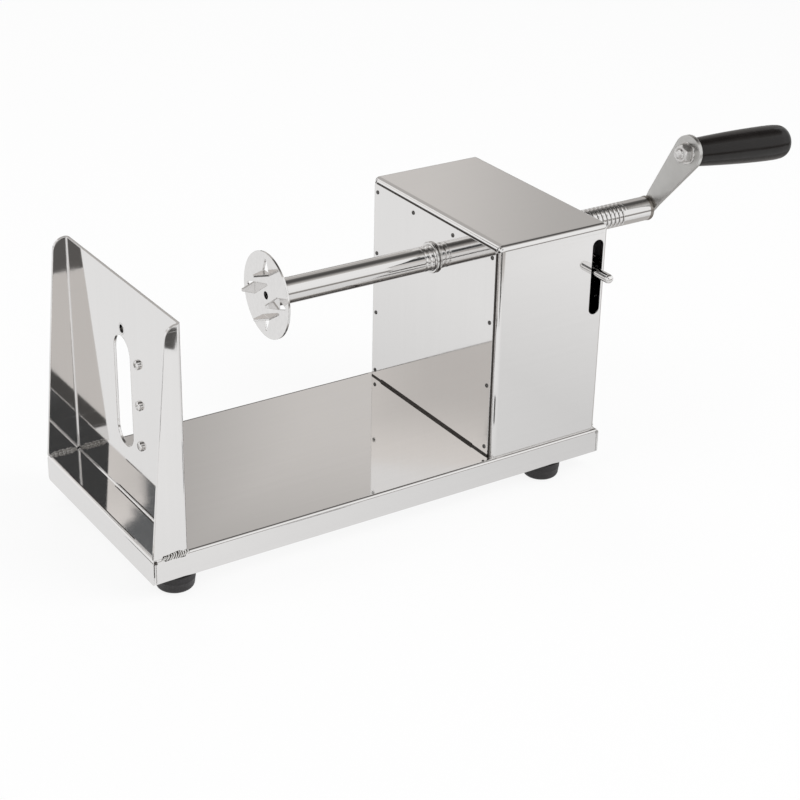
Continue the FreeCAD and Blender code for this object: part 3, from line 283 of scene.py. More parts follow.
# Marks to the metre along each axis: in lines along the machine, in upright lines, or even.
LENGTHWISE = (30.0, 2600.0, 2600.0)
UPRIGHT = (2600.0, 2600.0, 30.0)
EVEN = (900.0, 900.0, 900.0)
SOFT_EVEN = (700.0, 700.0, 700.0)
COARSE_EVEN = (500.0, 500.0, 500.0)
BRIGHT = (0.80, 0.79, 0.783)

FINISH = {
    "tray": steel("tray sheet", BRIGHT, 0.035, haze=0.03, stretch=LENGTHWISE, depth=0.000002,
                  tone=0.012, wave=0.00008),
    "bracket": steel("bracket sheet", BRIGHT, 0.03, haze=0.03, stretch=UPRIGHT, depth=0.000001,
                     tone=0.01, edge=0.0008, wave=0.00008),
    "shell": steel("box sheet", BRIGHT, 0.06, haze=0.03, stretch=LENGTHWISE, depth=0.000002,
                   tone=0.012, wave=0.0001),
    "panel": steel("end panel sheet", BRIGHT, 0.035, haze=0.03, stretch=UPRIGHT,
                   depth=0.0000015, tone=0.01, wave=0.0001),
    "tube": steel("polished tube", BRIGHT, 0.06, haze=0.04, stretch=(30.0, 3000.0, 3000.0),
                  depth=0.000003, edge=0.0003),
    "disc": steel("mirror disc", BRIGHT, 0.04, haze=0.04, depth=0.000001, edge=0.0004),
    "arm": steel("crank bar", (0.62, 0.615, 0.60), 0.28, haze=0.08, stretch=EVEN, edge=0.0007),
    "chrome": steel("bright rod", (0.84, 0.83, 0.82), 0.03, haze=0.03, stretch=EVEN,
                    depth=0.000001, tone=0.01, edge=0.0003),
    "turned": steel("turned steel", (0.74, 0.73, 0.72), 0.1, haze=0.06,
                    stretch=(6000.0, 60.0, 60.0), depth=0.000005, edge=0.0003),
    "fastener": steel("bright fastener", (0.78, 0.77, 0.76), 0.07, haze=0.06, stretch=EVEN,
                      depth=0.000004, edge=0.00025),
    "panel_screw": steel("small dark screw", (0.16, 0.155, 0.15), 0.3, haze=0.1, stretch=EVEN,
                         depth=0.000004, edge=0.0002),
    "nut": steel("plated nut", (0.80, 0.79, 0.78), 0.3, haze=0.12, stretch=SOFT_EVEN,
                 edge=0.0003),
    "knife": steel("knife steel", (0.70, 0.71, 0.72), 0.12, haze=0.06,
                   stretch=(2400.0, 40.0, 2400.0), depth=0.000004, edge=0.0002),
    "block": steel("milled block", (0.62, 0.62, 0.63), 0.34, haze=0.1,
                   stretch=(700.0, 60.0, 700.0), depth=0.00002, edge=0.0006),
    "brass": steel("bearing brass", (0.72, 0.52, 0.25), 0.24, haze=0.12,
                   stretch=(4000.0, 80.0, 80.0), depth=0.000008, edge=0.0004),
    "weld": steel("laid weld", (0.40, 0.39, 0.375), 0.2, haze=0.2, stretch=COARSE_EVEN,
                  depth=0.00006, tone=0.2, edge=0.0003),
    "ground": steel("ground weld", (0.82, 0.81, 0.79), 0.12, haze=0.1, stretch=COARSE_EVEN,
                    depth=0.00002, tone=0.1, edge=0.0003),
    "tinted": steel("heat tinted steel", (0.36, 0.33, 0.30), 0.2, haze=0.15,
                    stretch=(500.0, 60.0, 60.0), tone=0.25),
    # Painted shade: the near-black finish of strips that stand for shade in joints, gaps, the
    # thread's groove and the weld's hollows.
    "painted_shade": steel("painted shade strip", (0.085, 0.076, 0.07), 0.5, haze=0.1, stretch=EVEN,
                  depth=0.000004, edge=0.0001),
    "rubber": rubber("foot rubber"),
    "gloss": black_gloss("grip plastic"),
}

NODE_FINISH = {
    "tray": ["base_tray"],
    "bracket": ["blade_bracket"],
    "shell": ["housing_shell"],
    "panel": ["housing_left_panel", "housing_right_panel"],
    "rubber": ["foot_front_left", "foot_front_right", "foot_rear_left", "foot_rear_right"],
    "fastener": ["foot_screws", "foot_washers", "foot_nuts", "blade_screws", "left_panel_screws",
                 "right_panel_screws", "housing_bolts", "housing_nuts", "post_screws_inner",
                 "post_screws_outer", "spindle_nut", "grip_washer", "grip_spindle"],
    "knife": ["blade"],
    "turned": ["skewer_guide", "left_sleeve", "right_sleeve", "left_ring", "right_ring",
               "cam_ring", "guide_posts_upper", "guide_posts_lower", "upper_pin",
               "lower_pin", "pusher_hub", "shaft_plug"],
    "block": ["guide_block"],
    "brass": ["left_bearing", "right_bearing", "upper_half_nut", "lower_half_nut"],
    "tube": ["push_shaft"],
    "chrome": ["lever_rod"],
    "disc": ["pusher_disc"],
    "arm": ["crank_arm"],
    "gloss": ["grip", "grip_cap"],
}


def dress_nodes():
    """Gives every node of the frame its finish."""
    for finish, names in NODE_FINISH.items():
        for name in names:
            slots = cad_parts[name].data.materials
            if not slots:
                slots.append(FINISH[finish])
            for index in range(len(slots)):
                slots[index] = FINISH[finish]


# ------------------------------------------------------------------ mesh building

def finish_piece(name, shape, finish, body, replaced=(), sharp=35):
    """Makes a built shape a piece that rides on a body, with its finish and sharp edges kept."""
    bmesh.ops.remove_doubles(shape, verts=shape.verts, dist=1e-7)
    bmesh.ops.recalc_face_normals(shape, faces=shape.faces)
    mesh = bpy.data.meshes.new(name)
    shape.to_mesh(mesh)
    shape.free()
    for face in mesh.polygons:
        face.use_smooth = True
    mesh.set_sharp_from_angle(angle=math.radians(sharp))
    mesh.materials.append(FINISH[finish])
    piece = place_object(name, mesh)
    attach(piece, body)
    if replaced:
        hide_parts(*replaced)


def join_rings(shape, rings, capped=True):
    """Skins the walls from each ring of corners to the next, and closes both ends."""
    for low, high in zip(rings, rings[1:]):
        for index in range(len(low)):
            after = (index + 1) % len(low)
            shape.faces.new((low[index], low[after], high[after], high[index]))
    if capped:
        shape.faces.new(rings[0])
        shape.faces.new(list(reversed(rings[-1])))


def block(shape, low, high):
    """A small closed block between two corners of the drawing."""
    corners = [shape.verts.new(spot(x, y, z)) for x in (low[0], high[0])
               for y in (low[1], high[1]) for z in (low[2], high[2])]
    for face in ((0, 1, 3, 2), (4, 6, 7, 5), (0, 4, 5, 1), (2, 3, 7, 6), (0, 2, 6, 4),
                 (1, 5, 7, 3)):
        shape.faces.new([corners[index] for index in face])


def make_blocks(name, finish, blocks):
    """One fixed piece of small blocks, each given by its two corners."""
    shape = bmesh.new()
    for low, high in blocks:
        block(shape, low, high)
    finish_piece(name, shape, finish, "machine")


def toward(start, direction):
    """A placing that puts local Z along a direction from a start point."""
    return Matrix.Translation(start) @ direction.to_track_quat("Z", "Y").to_matrix().to_4x4()


def turn_profile(shape, profile, placing, angles=64):
    """Turns corners of (length, radius) in millimetres round local Z, as one closed skin.

    A corner may be a function of the angle. Angles is their number, or a list of them.
    """
    if isinstance(angles, int):
        angles = [FULL_TURN * step / angles for step in range(angles)]
    rings = []
    for corner in profile:
        spots = [corner(angle) if callable(corner) else corner for angle in angles]
        if spots[0][1] < 1e-6:
            rings.append([shape.verts.new(placing @ Vector((0, 0, spots[0][0] * MM)))])
            continue
        rings.append([shape.verts.new(placing @ Vector((
            radius * math.cos(angle) * MM, radius * math.sin(angle) * MM, length * MM)))
            for angle, (length, radius) in zip(angles, spots)])
    steps = len(angles)
    for low, high in zip(rings, rings[1:]):
        for step in range(steps):
            after = (step + 1) % steps
            corners = [low[step % len(low)], low[after % len(low)],
                       high[after % len(high)], high[step % len(high)]]
            kept = list(dict.fromkeys(corners))
            if len(kept) > 2:
                shape.faces.new(kept)


def turned_piece(name, profile, placing, angles, finish, body, replaced=(), sharp=35):
    """A piece that is one profile turned round local Z of its placing."""
    shape = bmesh.new()
    turn_profile(shape, profile, placing, angles)
    finish_piece(name, shape, finish, body, replaced, sharp)


# ------------------------------------------------------------------ shaft

THREAD_START = 263.7
THREAD_END = 453.8
THREAD_LEAD = 4.0
THREAD_DEPTH = 0.9
THREAD_FADE = 0.75 * THREAD_LEAD
THREAD_LAND = 0.25
TUBE_RADIUS = 9.5
TUBE_BORE = 8.0
TUBE_ENDS = (137.5, 480.5)
TUBE_CHAMFER = 0.35
TUBE_SIDES = 72
ROW_GAP = 0.4


def round_axis(x, radius, angle):
    """A point of the frame at an angle and a radius round the feed axis."""
    return spot(x, radius * math.cos(angle), AXIS_Z + radius * math.sin(angle))


def groove_depth(x, angle):
    """How deep the rolled groove is at a place along the tube and round it."""
    fade = max(0.0, min(1.0, min(x - THREAD_START, THREAD_END - x) / THREAD_FADE))
    phase = (x / THREAD_LEAD - angle / FULL_TURN) % 1.0
    wave = max(0.0, math.cos(FULL_TURN * phase) * (1 + THREAD_LAND) - THREAD_LAND)
    return THREAD_DEPTH * fade * wave


def make_threaded_tube():
    """The polished feed tube with its rolled thread."""
    shape = bmesh.new()
    angles = [FULL_TURN * step / TUBE_SIDES for step in range(TUBE_SIDES)]
    count = int((THREAD_END - THREAD_START) / ROW_GAP)
    rows = [TUBE_ENDS[0], TUBE_ENDS[0] + ROW_GAP, THREAD_START - ROW_GAP]
    rows += [THREAD_START + (THREAD_END - THREAD_START) * i / count for i in range(count + 1)]
    rows += [THREAD_END + ROW_GAP, TUBE_ENDS[1] - ROW_GAP, TUBE_ENDS[1]]
    skin = []
    for x in rows:
        radius = TUBE_RADIUS - (TUBE_CHAMFER if x in TUBE_ENDS else 0.0)
        skin.append([shape.verts.new(round_axis(x, radius - groove_depth(x, angle), angle))
                     for angle in angles])
    for x in reversed(TUBE_ENDS):
        skin.append([shape.verts.new(round_axis(x, TUBE_BORE, angle)) for angle in angles])
    join_rings(shape, skin + skin[:1], capped=False)
    finish_piece("threaded_tube", shape, "tube", "feed_shaft", ["push_shaft"])


def make_thread_shade():
    """A painted shade line: a dark strip along the bottom of the thread, where the groove lies in
    shade.
    """
    steps, half, bottom, top = 36, 0.5, 8.5, 8.84
    unshaded_start, unshaded_end = 11, 3.2
    first = round(steps * (THREAD_START + unshaded_start) / THREAD_LEAD)
    last = round(steps * (THREAD_END - unshaded_end) / THREAD_LEAD)
    section = ((-half, bottom), (half, bottom), (half, top), (-half, top))
    shape = bmesh.new()
    join_rings(shape, [[shape.verts.new(round_axis(THREAD_LEAD * step / steps + along, radius,
                                                   FULL_TURN * step / steps))
                        for along, radius in section] for step in range(first, last + 1)])
    finish_piece("thread_painted_shade", shape, "painted_shade", "feed_shaft")


# ------------------------------------------------------------------ screws

def pan_head(shank, length, head, height):
    """A cross-head pan screw along local Z, its seat at 0 and its shank below.

    The cross is a share of the head's radius and height, and narrows toward its bottom.
    """
    eighth = FULL_TURN / 8
    arm, half, depth = 0.62 * head, 0.17 * head, 0.62 * height
    end = math.atan2(half, arm)
    angles = [quarter * FULL_TURN / 4 + a for quarter in range(4)
              for a in (-end, 0, end, 0.4, 0.6, eighth, 2 * eighth - 0.6, 2 * eighth - 0.4)]

    def cross(share, level):
        def corner(angle):
            fold = (angle + eighth) % (2 * eighth) - eighth
            if abs(fold) <= end + 1e-9:
                reach = arm / math.cos(fold)
            else:
                reach = half / math.sin(abs(fold))
            return level, share * reach
        return corner

    profile = [(-length, 0), (-length, 0.8 * shank), (0.4 * shank - length, shank), (0, shank),
               (0, head)]
    profile += [(height * (0.3 + 0.7 * math.sin(a)), head * (0.42 + 0.58 * math.cos(a)))
                for a in (0, 0.3, 0.6, 0.9, 1.2)]
    profile += [cross(1.0, height * 0.985), cross(0.86, height - 0.5 * depth),
                cross(0.6, height - depth), (height - depth, 0)]
    return profile, angles


def panel_spots(x):
    """The ten screws round an end panel at X: four rows at its sides and a pair at its top."""
    top, pitch, side, inner = 189.5, 50, 75.5, 26
    rows = [top - pitch * row for row in range(4)]
    return [(x, y, z) for z in rows for y in (-side, side)] + [(x, -inner, top), (x, inner, top)]


def driven(place, direction, turn):
    """A screw's placing: its head looks along a direction, and its cross stands at a turn."""
    return toward(spot(*place), Vector(direction)) @ Matrix.Rotation(turn, 4, "Z")


FOOT_SPOTS = [(22.5, -72.5), (332.5, -72.5), (22.5, 72.5), (332.5, 72.5)]


def make_all_screws():
    """Every screw that can be seen, each left at the turn where it came tight."""
    left, right, down = (-1, 0, 0), (1, 0, 0), (0, 0, -1)
    panel_size = (1.1, 2.6, 1.6, 0.75)
    chance = random.Random(41)
    for name, node, spots, direction, sizes, finish in (
            ("blade_pan_screws", "blade_screws",
             [(24.4, -24, z) for z in (146.1, 115.3, 84.5)], left, (1.95, 3.6, 3.6, 2.5),
             "fastener"),
            ("left_panel_pan_screws", "left_panel_screws", panel_spots(276.2), left, panel_size,
             "panel_screw"),
            ("right_panel_pan_screws", "right_panel_screws", panel_spots(374.4), right,
             panel_size, "panel_screw"),
            ("post_pan_screws", "post_screws_outer",
             [(374.4, y, AXIS_Z + z) for y in (-36, 36) for z in (-26, 26)], right,
             (1.95, 10.2, 3.9, 2.6), "fastener"),
            ("foot_pan_screws", "foot_screws", [(x, y, 6) for x, y in FOOT_SPOTS], down,
             (2.4, 14, 4.6, 3.2), "fastener"),
            ("housing_pan_bolts", "housing_bolts",
             [(x, y, 31.5) for x in (300.2, 350.4) for y in (-50, 50)], down,
             (1.5, 6.4, 3, 2.1), "fastener")):
        shape = bmesh.new()
        profile, angles = pan_head(*sizes)
        for place in spots:
            turn_profile(shape, profile, driven(place, direction, chance.uniform(0, 3)), angles)
        finish_piece(name, shape, finish, "machine", [node], sharp=40)


# ------------------------------------------------------------------ feet, collars, crank

def make_feet():
    """Tapered rubber feet with a rounded sole, a moulding line and a recess for the screw."""
    rim, well, hole = 3.4, 7, 2.65
    profile = [(12.9, hole), (13, 14.2), (12.7, 14.5), (8.2, 14.05), (8.0, 14.15), (7.8, 14.0),
               (rim, 13.5)]
    profile += [(rim - rim * math.sin(a), 10.1 + rim * math.cos(a))
                for a in (0.25, 0.5, 0.75, 1.0, 1.25, 1.5)]
    profile += [(0, 7.1), (0.4, 6.5), (well, 6.5), (well, hole), (12.9, hole)]
    for name, (x, y) in zip(NODE_FINISH["rubber"], FOOT_SPOTS):
        turned_piece(name + "_rubber", profile, Matrix.Translation(spot(x, y, 0)), 64, "rubber",
                     "machine", [name])


def make_collar(side, outside, length, direction):
    """A turned sleeve with the rounded collar that stands out of the end panel."""
    bore, stem = 9.55, 10.4
    profile = [(0.5, bore), (0.15, bore + 0.3), (0, bore + 0.75)]
    profile += [(1 - math.cos(a), 10.95 + 0.95 * math.sin(a)) for a in
                (0.2, 0.5, 0.8, 1.1, 1.4, 1.74, 2.04, 2.34, 2.64)]
    profile += [(2, stem + 0.25), (2.1, stem), (length, stem), (length, bore), (0.5, bore)]
    turned_piece(side + "_turned_collar", profile,
                 toward(spot(outside, 0, AXIS_Z), Vector((direction, 0, 0))), 72, "turned",
                 "crank_sleeves", [side + "_sleeve"])


CRANK_TILT = math.radians(32.1)
CRANK_LEAN = math.radians(6.5)
ARM_HOLE = spot(486.493, -34.329, 217.924)


def on_spindle(along):
    """A placing on the crank's spindle with local Z outward, at millimetres from the arm."""
    turn = (Matrix.Rotation(CRANK_TILT, 4, "X") @ Matrix.Rotation(CRANK_LEAN, 4, "Y")
            @ Matrix.Rotation(math.pi / 2, 4, "Y"))
    return Matrix.Translation(ARM_HOLE) @ turn @ Matrix.Translation((0, 0, along * MM))


def make_hexagon_nut():
    """The crank's hexagon nut with its corners turned round, and the washer under it."""
    flats, height, ring, bore = 13.0, 6.3, 5.9, 4.03
    gap, washer, washer_radius = 1.05, 0.95, 8.6

    def corner(face, sign):
        def made(angle):
            fold = (angle + FULL_TURN / 12) % (FULL_TURN / 6) - FULL_TURN / 12
            reach = flats / 2 / math.cos(fold)
            return face + sign * 0.5 * (reach - ring), reach
        return made

    turned_piece("crank_hexagon_nut", [
        (0.4, bore), (0, bore + 0.4), (0, ring), corner(0.12, 1), corner(height - 0.12, -1),
        (height, ring), (height, bore + 0.4), (height - 0.4, bore), (0.4, bore),
    ], on_spindle(-height - gap), 48, "nut", "feed_shaft",
        ["spindle_nut"], sharp=25)
    turned_piece("crank_washer", [
        (0.15, bore), (0, bore + 0.15), (0, washer_radius - 0.3), (0.25, washer_radius),
        (washer, washer_radius), (washer, bore), (0.15, bore),
    ], on_spindle(-1.0), 64, "fastener", "feed_shaft")


def make_spindle_bolt():
    """The spindle's bolt: a rounded threaded end, its plain shoulder and its head."""
    tip, radius, pitch, root = -8.3, 4.0, 1.0, 0.45
    shoulder, spindle, head_start, head, head_end = 4.6, 5, 96.2, 6.5, 101.2
    profile = [(tip, 0), (tip, 2.7), (tip + 0.25, 3.3), (tip + 0.9, 3.75)]
    length = tip + 1.2
    while length < -0.6:
        profile += [(length, radius), (length + 0.35, radius), (length + 0.62, radius - root)]
        length += pitch
    profile += [(0, radius), (shoulder, radius), (shoulder, spindle), (head_start, spindle),
                (head_start, head), (head_end, head), (head_end, 0)]
    turned_piece("spindle_bolt", profile, on_spindle(0), 48, "nut", "feed_shaft",
                 ["grip_spindle"])


GRIP_START = 4.9
GRIP_LENGTH = 101.0


def make_grip():
    """The glossy turned grip, swelling toward its rounded far end, with its plug."""
    steps, swell_start, swell_length, widest, narrowing = 24, 1.4, 82.6, 14, 3.25
    profile = [(0.4, 5.3), (0, 5.7)]
    profile += [(1.2 - 1.2 * math.cos(a), 9.4 + 1.2 * math.sin(a)) for a in (0, 0.4, 0.8, 1.2)]
    profile += [(swell_start + share * swell_length, widest - narrowing * (1 - share) ** 1.7)
                for share in (step / steps for step in range(steps + 1))]
    profile += [(88, 13.97), (91, 13.86), (93.5, 13.6)]
    profile += [(93.5 + 7.38 * math.sin(a), 8.3 + 5.3 * math.cos(a) ** 0.7)
                for a in (0.15, 0.3, 0.45, 0.6, 0.75, 0.9, 1.05, 1.2, 1.35, 1.5)]
    profile += [(GRIP_LENGTH, 7.95), (GRIP_LENGTH - 0.25, 7.62), (91, 7.6), (91, 5.3),
                (0.4, 5.3)]
    turned_piece("moulded_grip", profile, on_spindle(GRIP_START), 96, "gloss", "crank_grip",
                 ["grip"])
    plug = [(-3, 0), (-3, 7.55), (-0.7, 7.55), (-0.35, 7.4), (-0.15, 7.1), (-0.05, 6.4),
            (-0.05, 2.2), (-0.45, 1.6), (-0.5, 0)]
    turned_piece("grip_plug", plug, on_spindle(GRIP_START + GRIP_LENGTH), 64, "gloss",
                 "crank_grip", ["grip_cap"])


# ------------------------------------------------------------------ welds

def weld_bead(name, start, end, wall, size, seed):
    """A hand-laid bead in the corner of a wall and the tray, with lumps where it was fed."""
    rows, sides, pitch, buried = 66, 8, 3.1, 0.4
    thinnest, valley, crest, bulge, drag = 0.15, 0.62, 0.38, 0.22, 0.5
    chance = random.Random(seed)
    shape = bmesh.new()
    start, end, wall = Vector(start), Vector(end), Vector(wall)
    length = (end - start).length
    lumps = [chance.uniform(0.75, 1.25) for _ in range(rows)]
    rings = []
    for row in range(rows + 1):
        share = row / rows
        taper = min(1, 6 * share, 6 * (1 - share)) ** 0.5
        place = share * length / pitch
        lump = lumps[int(place) % rows]
        ripple = valley + crest * abs(math.sin(math.pi * place)) ** 0.7 * lump
        reach = max(thinnest, size * taper * ripple)
        middle = start.lerp(end, share)
        ring = [spot(*(middle - wall * buried + Vector((0, 0, -buried))))]
        for side in range(sides + 1):
            turn = math.pi / 2 * side / sides
            swell = reach * (1 + bulge * math.sin(2 * turn) * lump)
            lean = drag * math.sin(math.pi * place) * math.sin(turn)
            offset = wall * (math.cos(turn) * swell) + Vector((0, 0, math.sin(turn) * swell))
            ring.append(spot(*(middle + offset + (end - start).normalized() * lean)))
        ring[1] += (Vector((0, 0, -buried)) * MM)
        ring[-1] += (wall * -buried * MM)
        rings.append([shape.verts.new(point) for point in ring])
    join_rings(shape, rings)
    finish_piece(name, shape, "weld", "machine", sharp=60)


GUSSET_FACE = 87


def ridge(shape, line, side, half_width, proud):
    """A closed low ridge of weld along points of X and Z on a gusset's outer face."""
    arc = [(-1, -0.35), (-0.8, 0.45), (-0.35, 0.9), (0.2, 1.0), (0.75, 0.6), (1, -0.35)]
    rings = []
    for index, (x, z) in enumerate(line):
        before, after = line[max(0, index - 1)], line[min(len(line) - 1, index + 1)]
        run = Vector((after[0] - before[0], after[1] - before[1])).normalized()
        taper = 0.35 + 0.65 * math.sin(math.pi * (index + 0.5) / len(line)) ** 0.5
        rings.append([shape.verts.new(spot(x - run.y * a * half_width * taper,
                                           side * (GUSSET_FACE + b * proud * taper),
                                           z + run.x * a * half_width * taper))
                      for a, b in arc])
    join_rings(shape, rings)


def ground_weld(name, side, seed, proud):
    """The ground weld where a gusset's foot is joined to the tray's long flange.

    A dark ragged bed, painted shade in the hollows, lies under nine curved ridges, and four fine
    strokes run in from its end.
    """
    steps, middle_x, middle_z, half_length, half_height = 56, 16.5, 32.7, 9.6, 2.7
    ridges, first_ridge, ridge_gap, ridge_height, bow = 9, 11.2, 1.78, 2.9, 1.15
    strokes, stroke_length, stroke_turn = 4, 4.2, 0.75
    chance = random.Random(seed)
    shape = bmesh.new()
    outline = []
    for step in range(steps):
        turn = FULL_TURN * step / steps
        reach = 1 + 0.16 * math.sin(5 * turn + seed) + chance.uniform(-0.1, 0.1)
        across, up = (math.copysign(abs(wave(turn)) ** 0.8, wave(turn))
                      for wave in (math.cos, math.sin))
        outline.append((middle_x + half_length * across * reach,
                        middle_z + half_height * up * reach))
    # The bed's dark finish is painted shade between and under the ridges.
    join_rings(shape, [[shape.verts.new(spot(x, side * y, z)) for x, z in outline]
                       for y in (GUSSET_FACE + 0.1 * proud, GUSSET_FACE - 0.3)])
    finish_piece(name + "_bed", shape, "painted_shade", "machine", sharp=60)
    shape = bmesh.new()
    for number in range(ridges):
        middle = first_ridge + ridge_gap * number + chance.uniform(-0.2, 0.2)
        tall = ridge_height - 0.11 * abs(number - 4) ** 1.5 + chance.uniform(-0.3, 0.3)
        lean = chance.uniform(0.2, 0.9)
        line = []
        for step in range(9):
            up = step / 4 - 1
            line.append((middle + lean * up - bow * up ** 2 + 0.5, 32.8 + tall * up))
        ridge(shape, line, side, chance.uniform(0.42, 0.62), proud)
    for number in range(strokes):
        start = (5.2 + 0.9 * number, 31.0 + 0.1 * number)
        reach = stroke_length + chance.uniform(-0.6, 0.6)
        turn = stroke_turn - 0.05 * number
        line = [(start[0] + reach * math.cos(turn) * step / 5,
                 start[1] + reach * math.sin(turn) * (step / 5) ** 1.4) for step in range(6)]
        ridge(shape, line, side, 0.3, proud * 0.6)
    finish_piece(name, shape, "ground", "machine", sharp=50)


def make_shaft_weld():
    """The heat-tinted bead round the tube's end, where the arm is welded on."""
    profile = [(-3.4, 9.45), (-3.2, 9.56), (-2.2, 9.62), (-1.4, 9.8), (-0.8, 9.86), (-0.3, 9.7),
               (0, 9.3), (0, 9.2), (-3.4, 9.2), (-3.4, 9.45)]
    turned_piece("shaft_end_weld", profile,
                 toward(spot(TUBE_ENDS[1] - 0.02, 0, AXIS_Z), Vector((1, 0, 0))), 72, "tinted",
                 "feed_shaft")


def make_welds():
    """Beads inside both gussets, and the ground seams outside."""
    weld_bead("rear_weld_bead", (1.5, 85, 33), (23.0, 85, 33), (0, -1, 0), 1.9, 5)
    weld_bead("front_weld_bead", (1.5, -85, 33), (23.0, -85, 33), (0, 1, 0), 1.9, 6)
    ground_weld("front_ground_weld", -1, 7, 0.5)
    ground_weld("rear_ground_weld", 1, 8, 0.02)
    make_shaft_weld()


# ------------------------------------------------------------------ box corners, and painted shade at the panel joints

FOLD_MIDDLES = {"left": 281.4, "right": 369.2}
FOLD_SIDE = 80
FOLD_TOP = 196


def box_corner(shape, end, side):
    """The dressed round corner where the top, a side and an end fold of the box meet."""
    steps, outer_radius, inner_radius = 7, 3.98, 2.9
    inward = 1 if end == "left" else -1
    centre = spot(FOLD_MIDDLES[end], side * FOLD_SIDE, FOLD_TOP)
    skins = []
    for radius in (outer_radius, inner_radius):
        grid = []
        for row in range(steps + 1):
            rise = math.pi / 2 * row / steps
            line = []
            for column in range(steps + 1):
                turn = math.pi / 2 * column / steps
                way = Vector((-inward * math.cos(turn) * math.cos(rise),
                              side * math.sin(turn) * math.cos(rise), math.sin(rise)))
                line.append(shape.verts.new(centre + way * radius * MM))
            grid.append(line)
        skins.append(grid)
    outer, inner = skins
    for grid in skins:
        for low, high in zip(grid, grid[1:]):
            for column in range(steps):
                corners = [low[column], low[column + 1], high[column + 1], high[column]]
                shape.faces.new(corners)
    for step in range(steps):
        for a, b in (((step, 0), (step + 1, 0)), ((step, steps), (step + 1, steps)),
                     ((0, step), (0, step + 1))):
            shape.faces.new((outer[a[0]][a[1]], outer[b[0]][b[1]],
                             inner[b[0]][b[1]], inner[a[0]][a[1]]))


def both_sides(x, y, z):
    """The corners of two like blocks at the box's front and back, from ranges of X, Y and Z."""
    return [((x[0], low, z[0]), (x[1], high, z[1])) for low, high in ((-y[1], -y[0]), y)]


def make_box_corners():
    """The four closed top corners of the box, each with the lap behind the end panel."""
    shape = bmesh.new()
    for end in FOLD_MIDDLES:
        for side in (-1, 1):
            box_corner(shape, end, side)
    finish_piece("box_corners", shape, "shell", "machine")
    make_blocks("corner_laps", "shell",
                [pair for x in ((277.32, 278.3), (372.3, 373.28))
                 for pair in both_sides(x, (74, FOLD_SIDE), (190, FOLD_TOP))])


def make_panel_shade_lines():
    """Painted shade round each end panel, widest at its foot, and a painted shadow line on the
    tray: dark strips where the joints lie in shade.
    """
    for end, gap, foot, line in (
            ("left", (276.62, 277.5), (275.7, 276.6), (274.5, 274.95)),
            ("right", (373.1, 373.98), (374.0, 374.9), (375.65, 376.1))):
        make_blocks(end + "_panel_painted_shade", "painted_shade",
                    both_sides(gap, (79.5, 80.45), (33.02, 194.2)) + [
                        ((gap[0], -78, 195.5), (gap[1], 78, 196.45)),
                        ((foot[0], -79.6, 33.02), (foot[1], 79.6, 33.9)),
                        ((foot[0], -60, 33.9), (foot[1], 66, 34.7)),
                        ((line[0], -79, 33.0), (line[1], 66, 33.06))])


def make_plate_fillet():
    """The dressed fillet along the plate's foot, which catches the light."""
    steps, radius, half_length = 6, 1.5, 84.9
    face, tray_top, buried = 24.45, 32.95, (24.6, 32.8)
    section = [buried]
    for step in range(steps + 1):
        turn = math.pi / 2 * step / steps
        section.append((face - radius + radius * math.sin(turn),
                        tray_top + radius - radius * math.cos(turn)))
    shape = bmesh.new()
    join_rings(shape, [[shape.verts.new(spot(x, y, z)) for x, z in section]
                       for y in (-half_length, half_length)])
    finish_piece("plate_foot_fillet", shape, "bracket", "machine", sharp=60)


def make_foot_shade_lines():
    """Painted shade: dark strips along the plate's foot and its gusset's, and along the tray's
    edges.
    """
    make_blocks("plate_foot_painted_shade", "painted_shade", [
        ((22.35, -84.9, 32.9), (22.93, 20, 33.04)),
        ((24.3, -84.9, 34.5), (24.45, 20, 34.95)),
        ((0.4, -87.1, 29.9), (2.5, -86.7, 32.2)),
        ((0.12, -87.08, 20), (0.72, -86.8, 29.9)),
        ((7.7, -87.1, 30.9), (8.9, -86.7, 32.0))])
    make_blocks("tray_end_painted_shade", "painted_shade", [
        ((1.9, -54, 32.8), (2.6, 52, 33.04)), ((27, 84.0, 32.8), (275.6, 84.6, 33.04))])


# ------------------------------------------------------------------ stage

def where_seen(tree):
    """One where a surface is seen, mirrored or looked at through glass, and otherwise nothing."""
    path = add(tree, "LightPath").outputs
    seen = math_step(tree, "MAXIMUM", path["Is Camera Ray"], path["Is Glossy Ray"])
    return math_step(tree, "MAXIMUM", seen, path["Is Transmission Ray"])


def glowing(tree, material_output, matt, glow, kept):
    """Joins a matt colour with a glow that shows where it is seen, mirrored or through glass."""
    bright = add(tree, "Emission", {"Color": glow, "Strength": 1.0})
    share = math_step(tree, "MULTIPLY", where_seen(tree), 1 - kept)
    mixed = add(tree, "MixShader", {0: share, 1: matt.outputs[0], 2: bright.outputs[0]})
    fill(tree, material_output, {"Surface": mixed.outputs[0]})


def bare_material(name):
    """A material with nothing but its output and the place on the surface."""
    material, tree, shader, place = new_material(name)
    output = next(n for n in tree.nodes if n.type == "OUTPUT_MATERIAL")
    tree.nodes.remove(shader)
    return material, tree, output, place


def floor_material():
    """Pale paper, white where it is seen, and in mirrors a painted shadow: greyer close to the
    machine.
    """
    material, tree, output, place = bare_material("floor paper")
    matt = add(tree, "BsdfDiffuse", {"Color": (0.96, 0.96, 0.96, 1)})
    parts = add(tree, "SeparateXYZ", {0: place}).outputs
    # Painted shadow, seen only in mirrors: greyest near X 0.12 m and at Y above -0.12 m, paler
    # further out to the sides and front.
    aside = math_step(tree, "ABSOLUTE", math_step(tree, "SUBTRACT", parts[0], 0.12))
    shade = math_step(tree, "ADD", spread(tree, aside, 0.0, 0.34, 0.72, 0.90),
                      spread(tree, parts[1], -0.12, -0.42, 0.0, 0.10))
    mirrored = add(tree, "LightPath").outputs["Is Glossy Ray"]
    glow = add(tree, "Mix", {"Factor": mirrored, "A": (1, 1, 1, 1), "B": shade},
               data_type="RGBA").outputs["Result"]
    glowing(tree, output, matt, glow, 0.13)
    return material


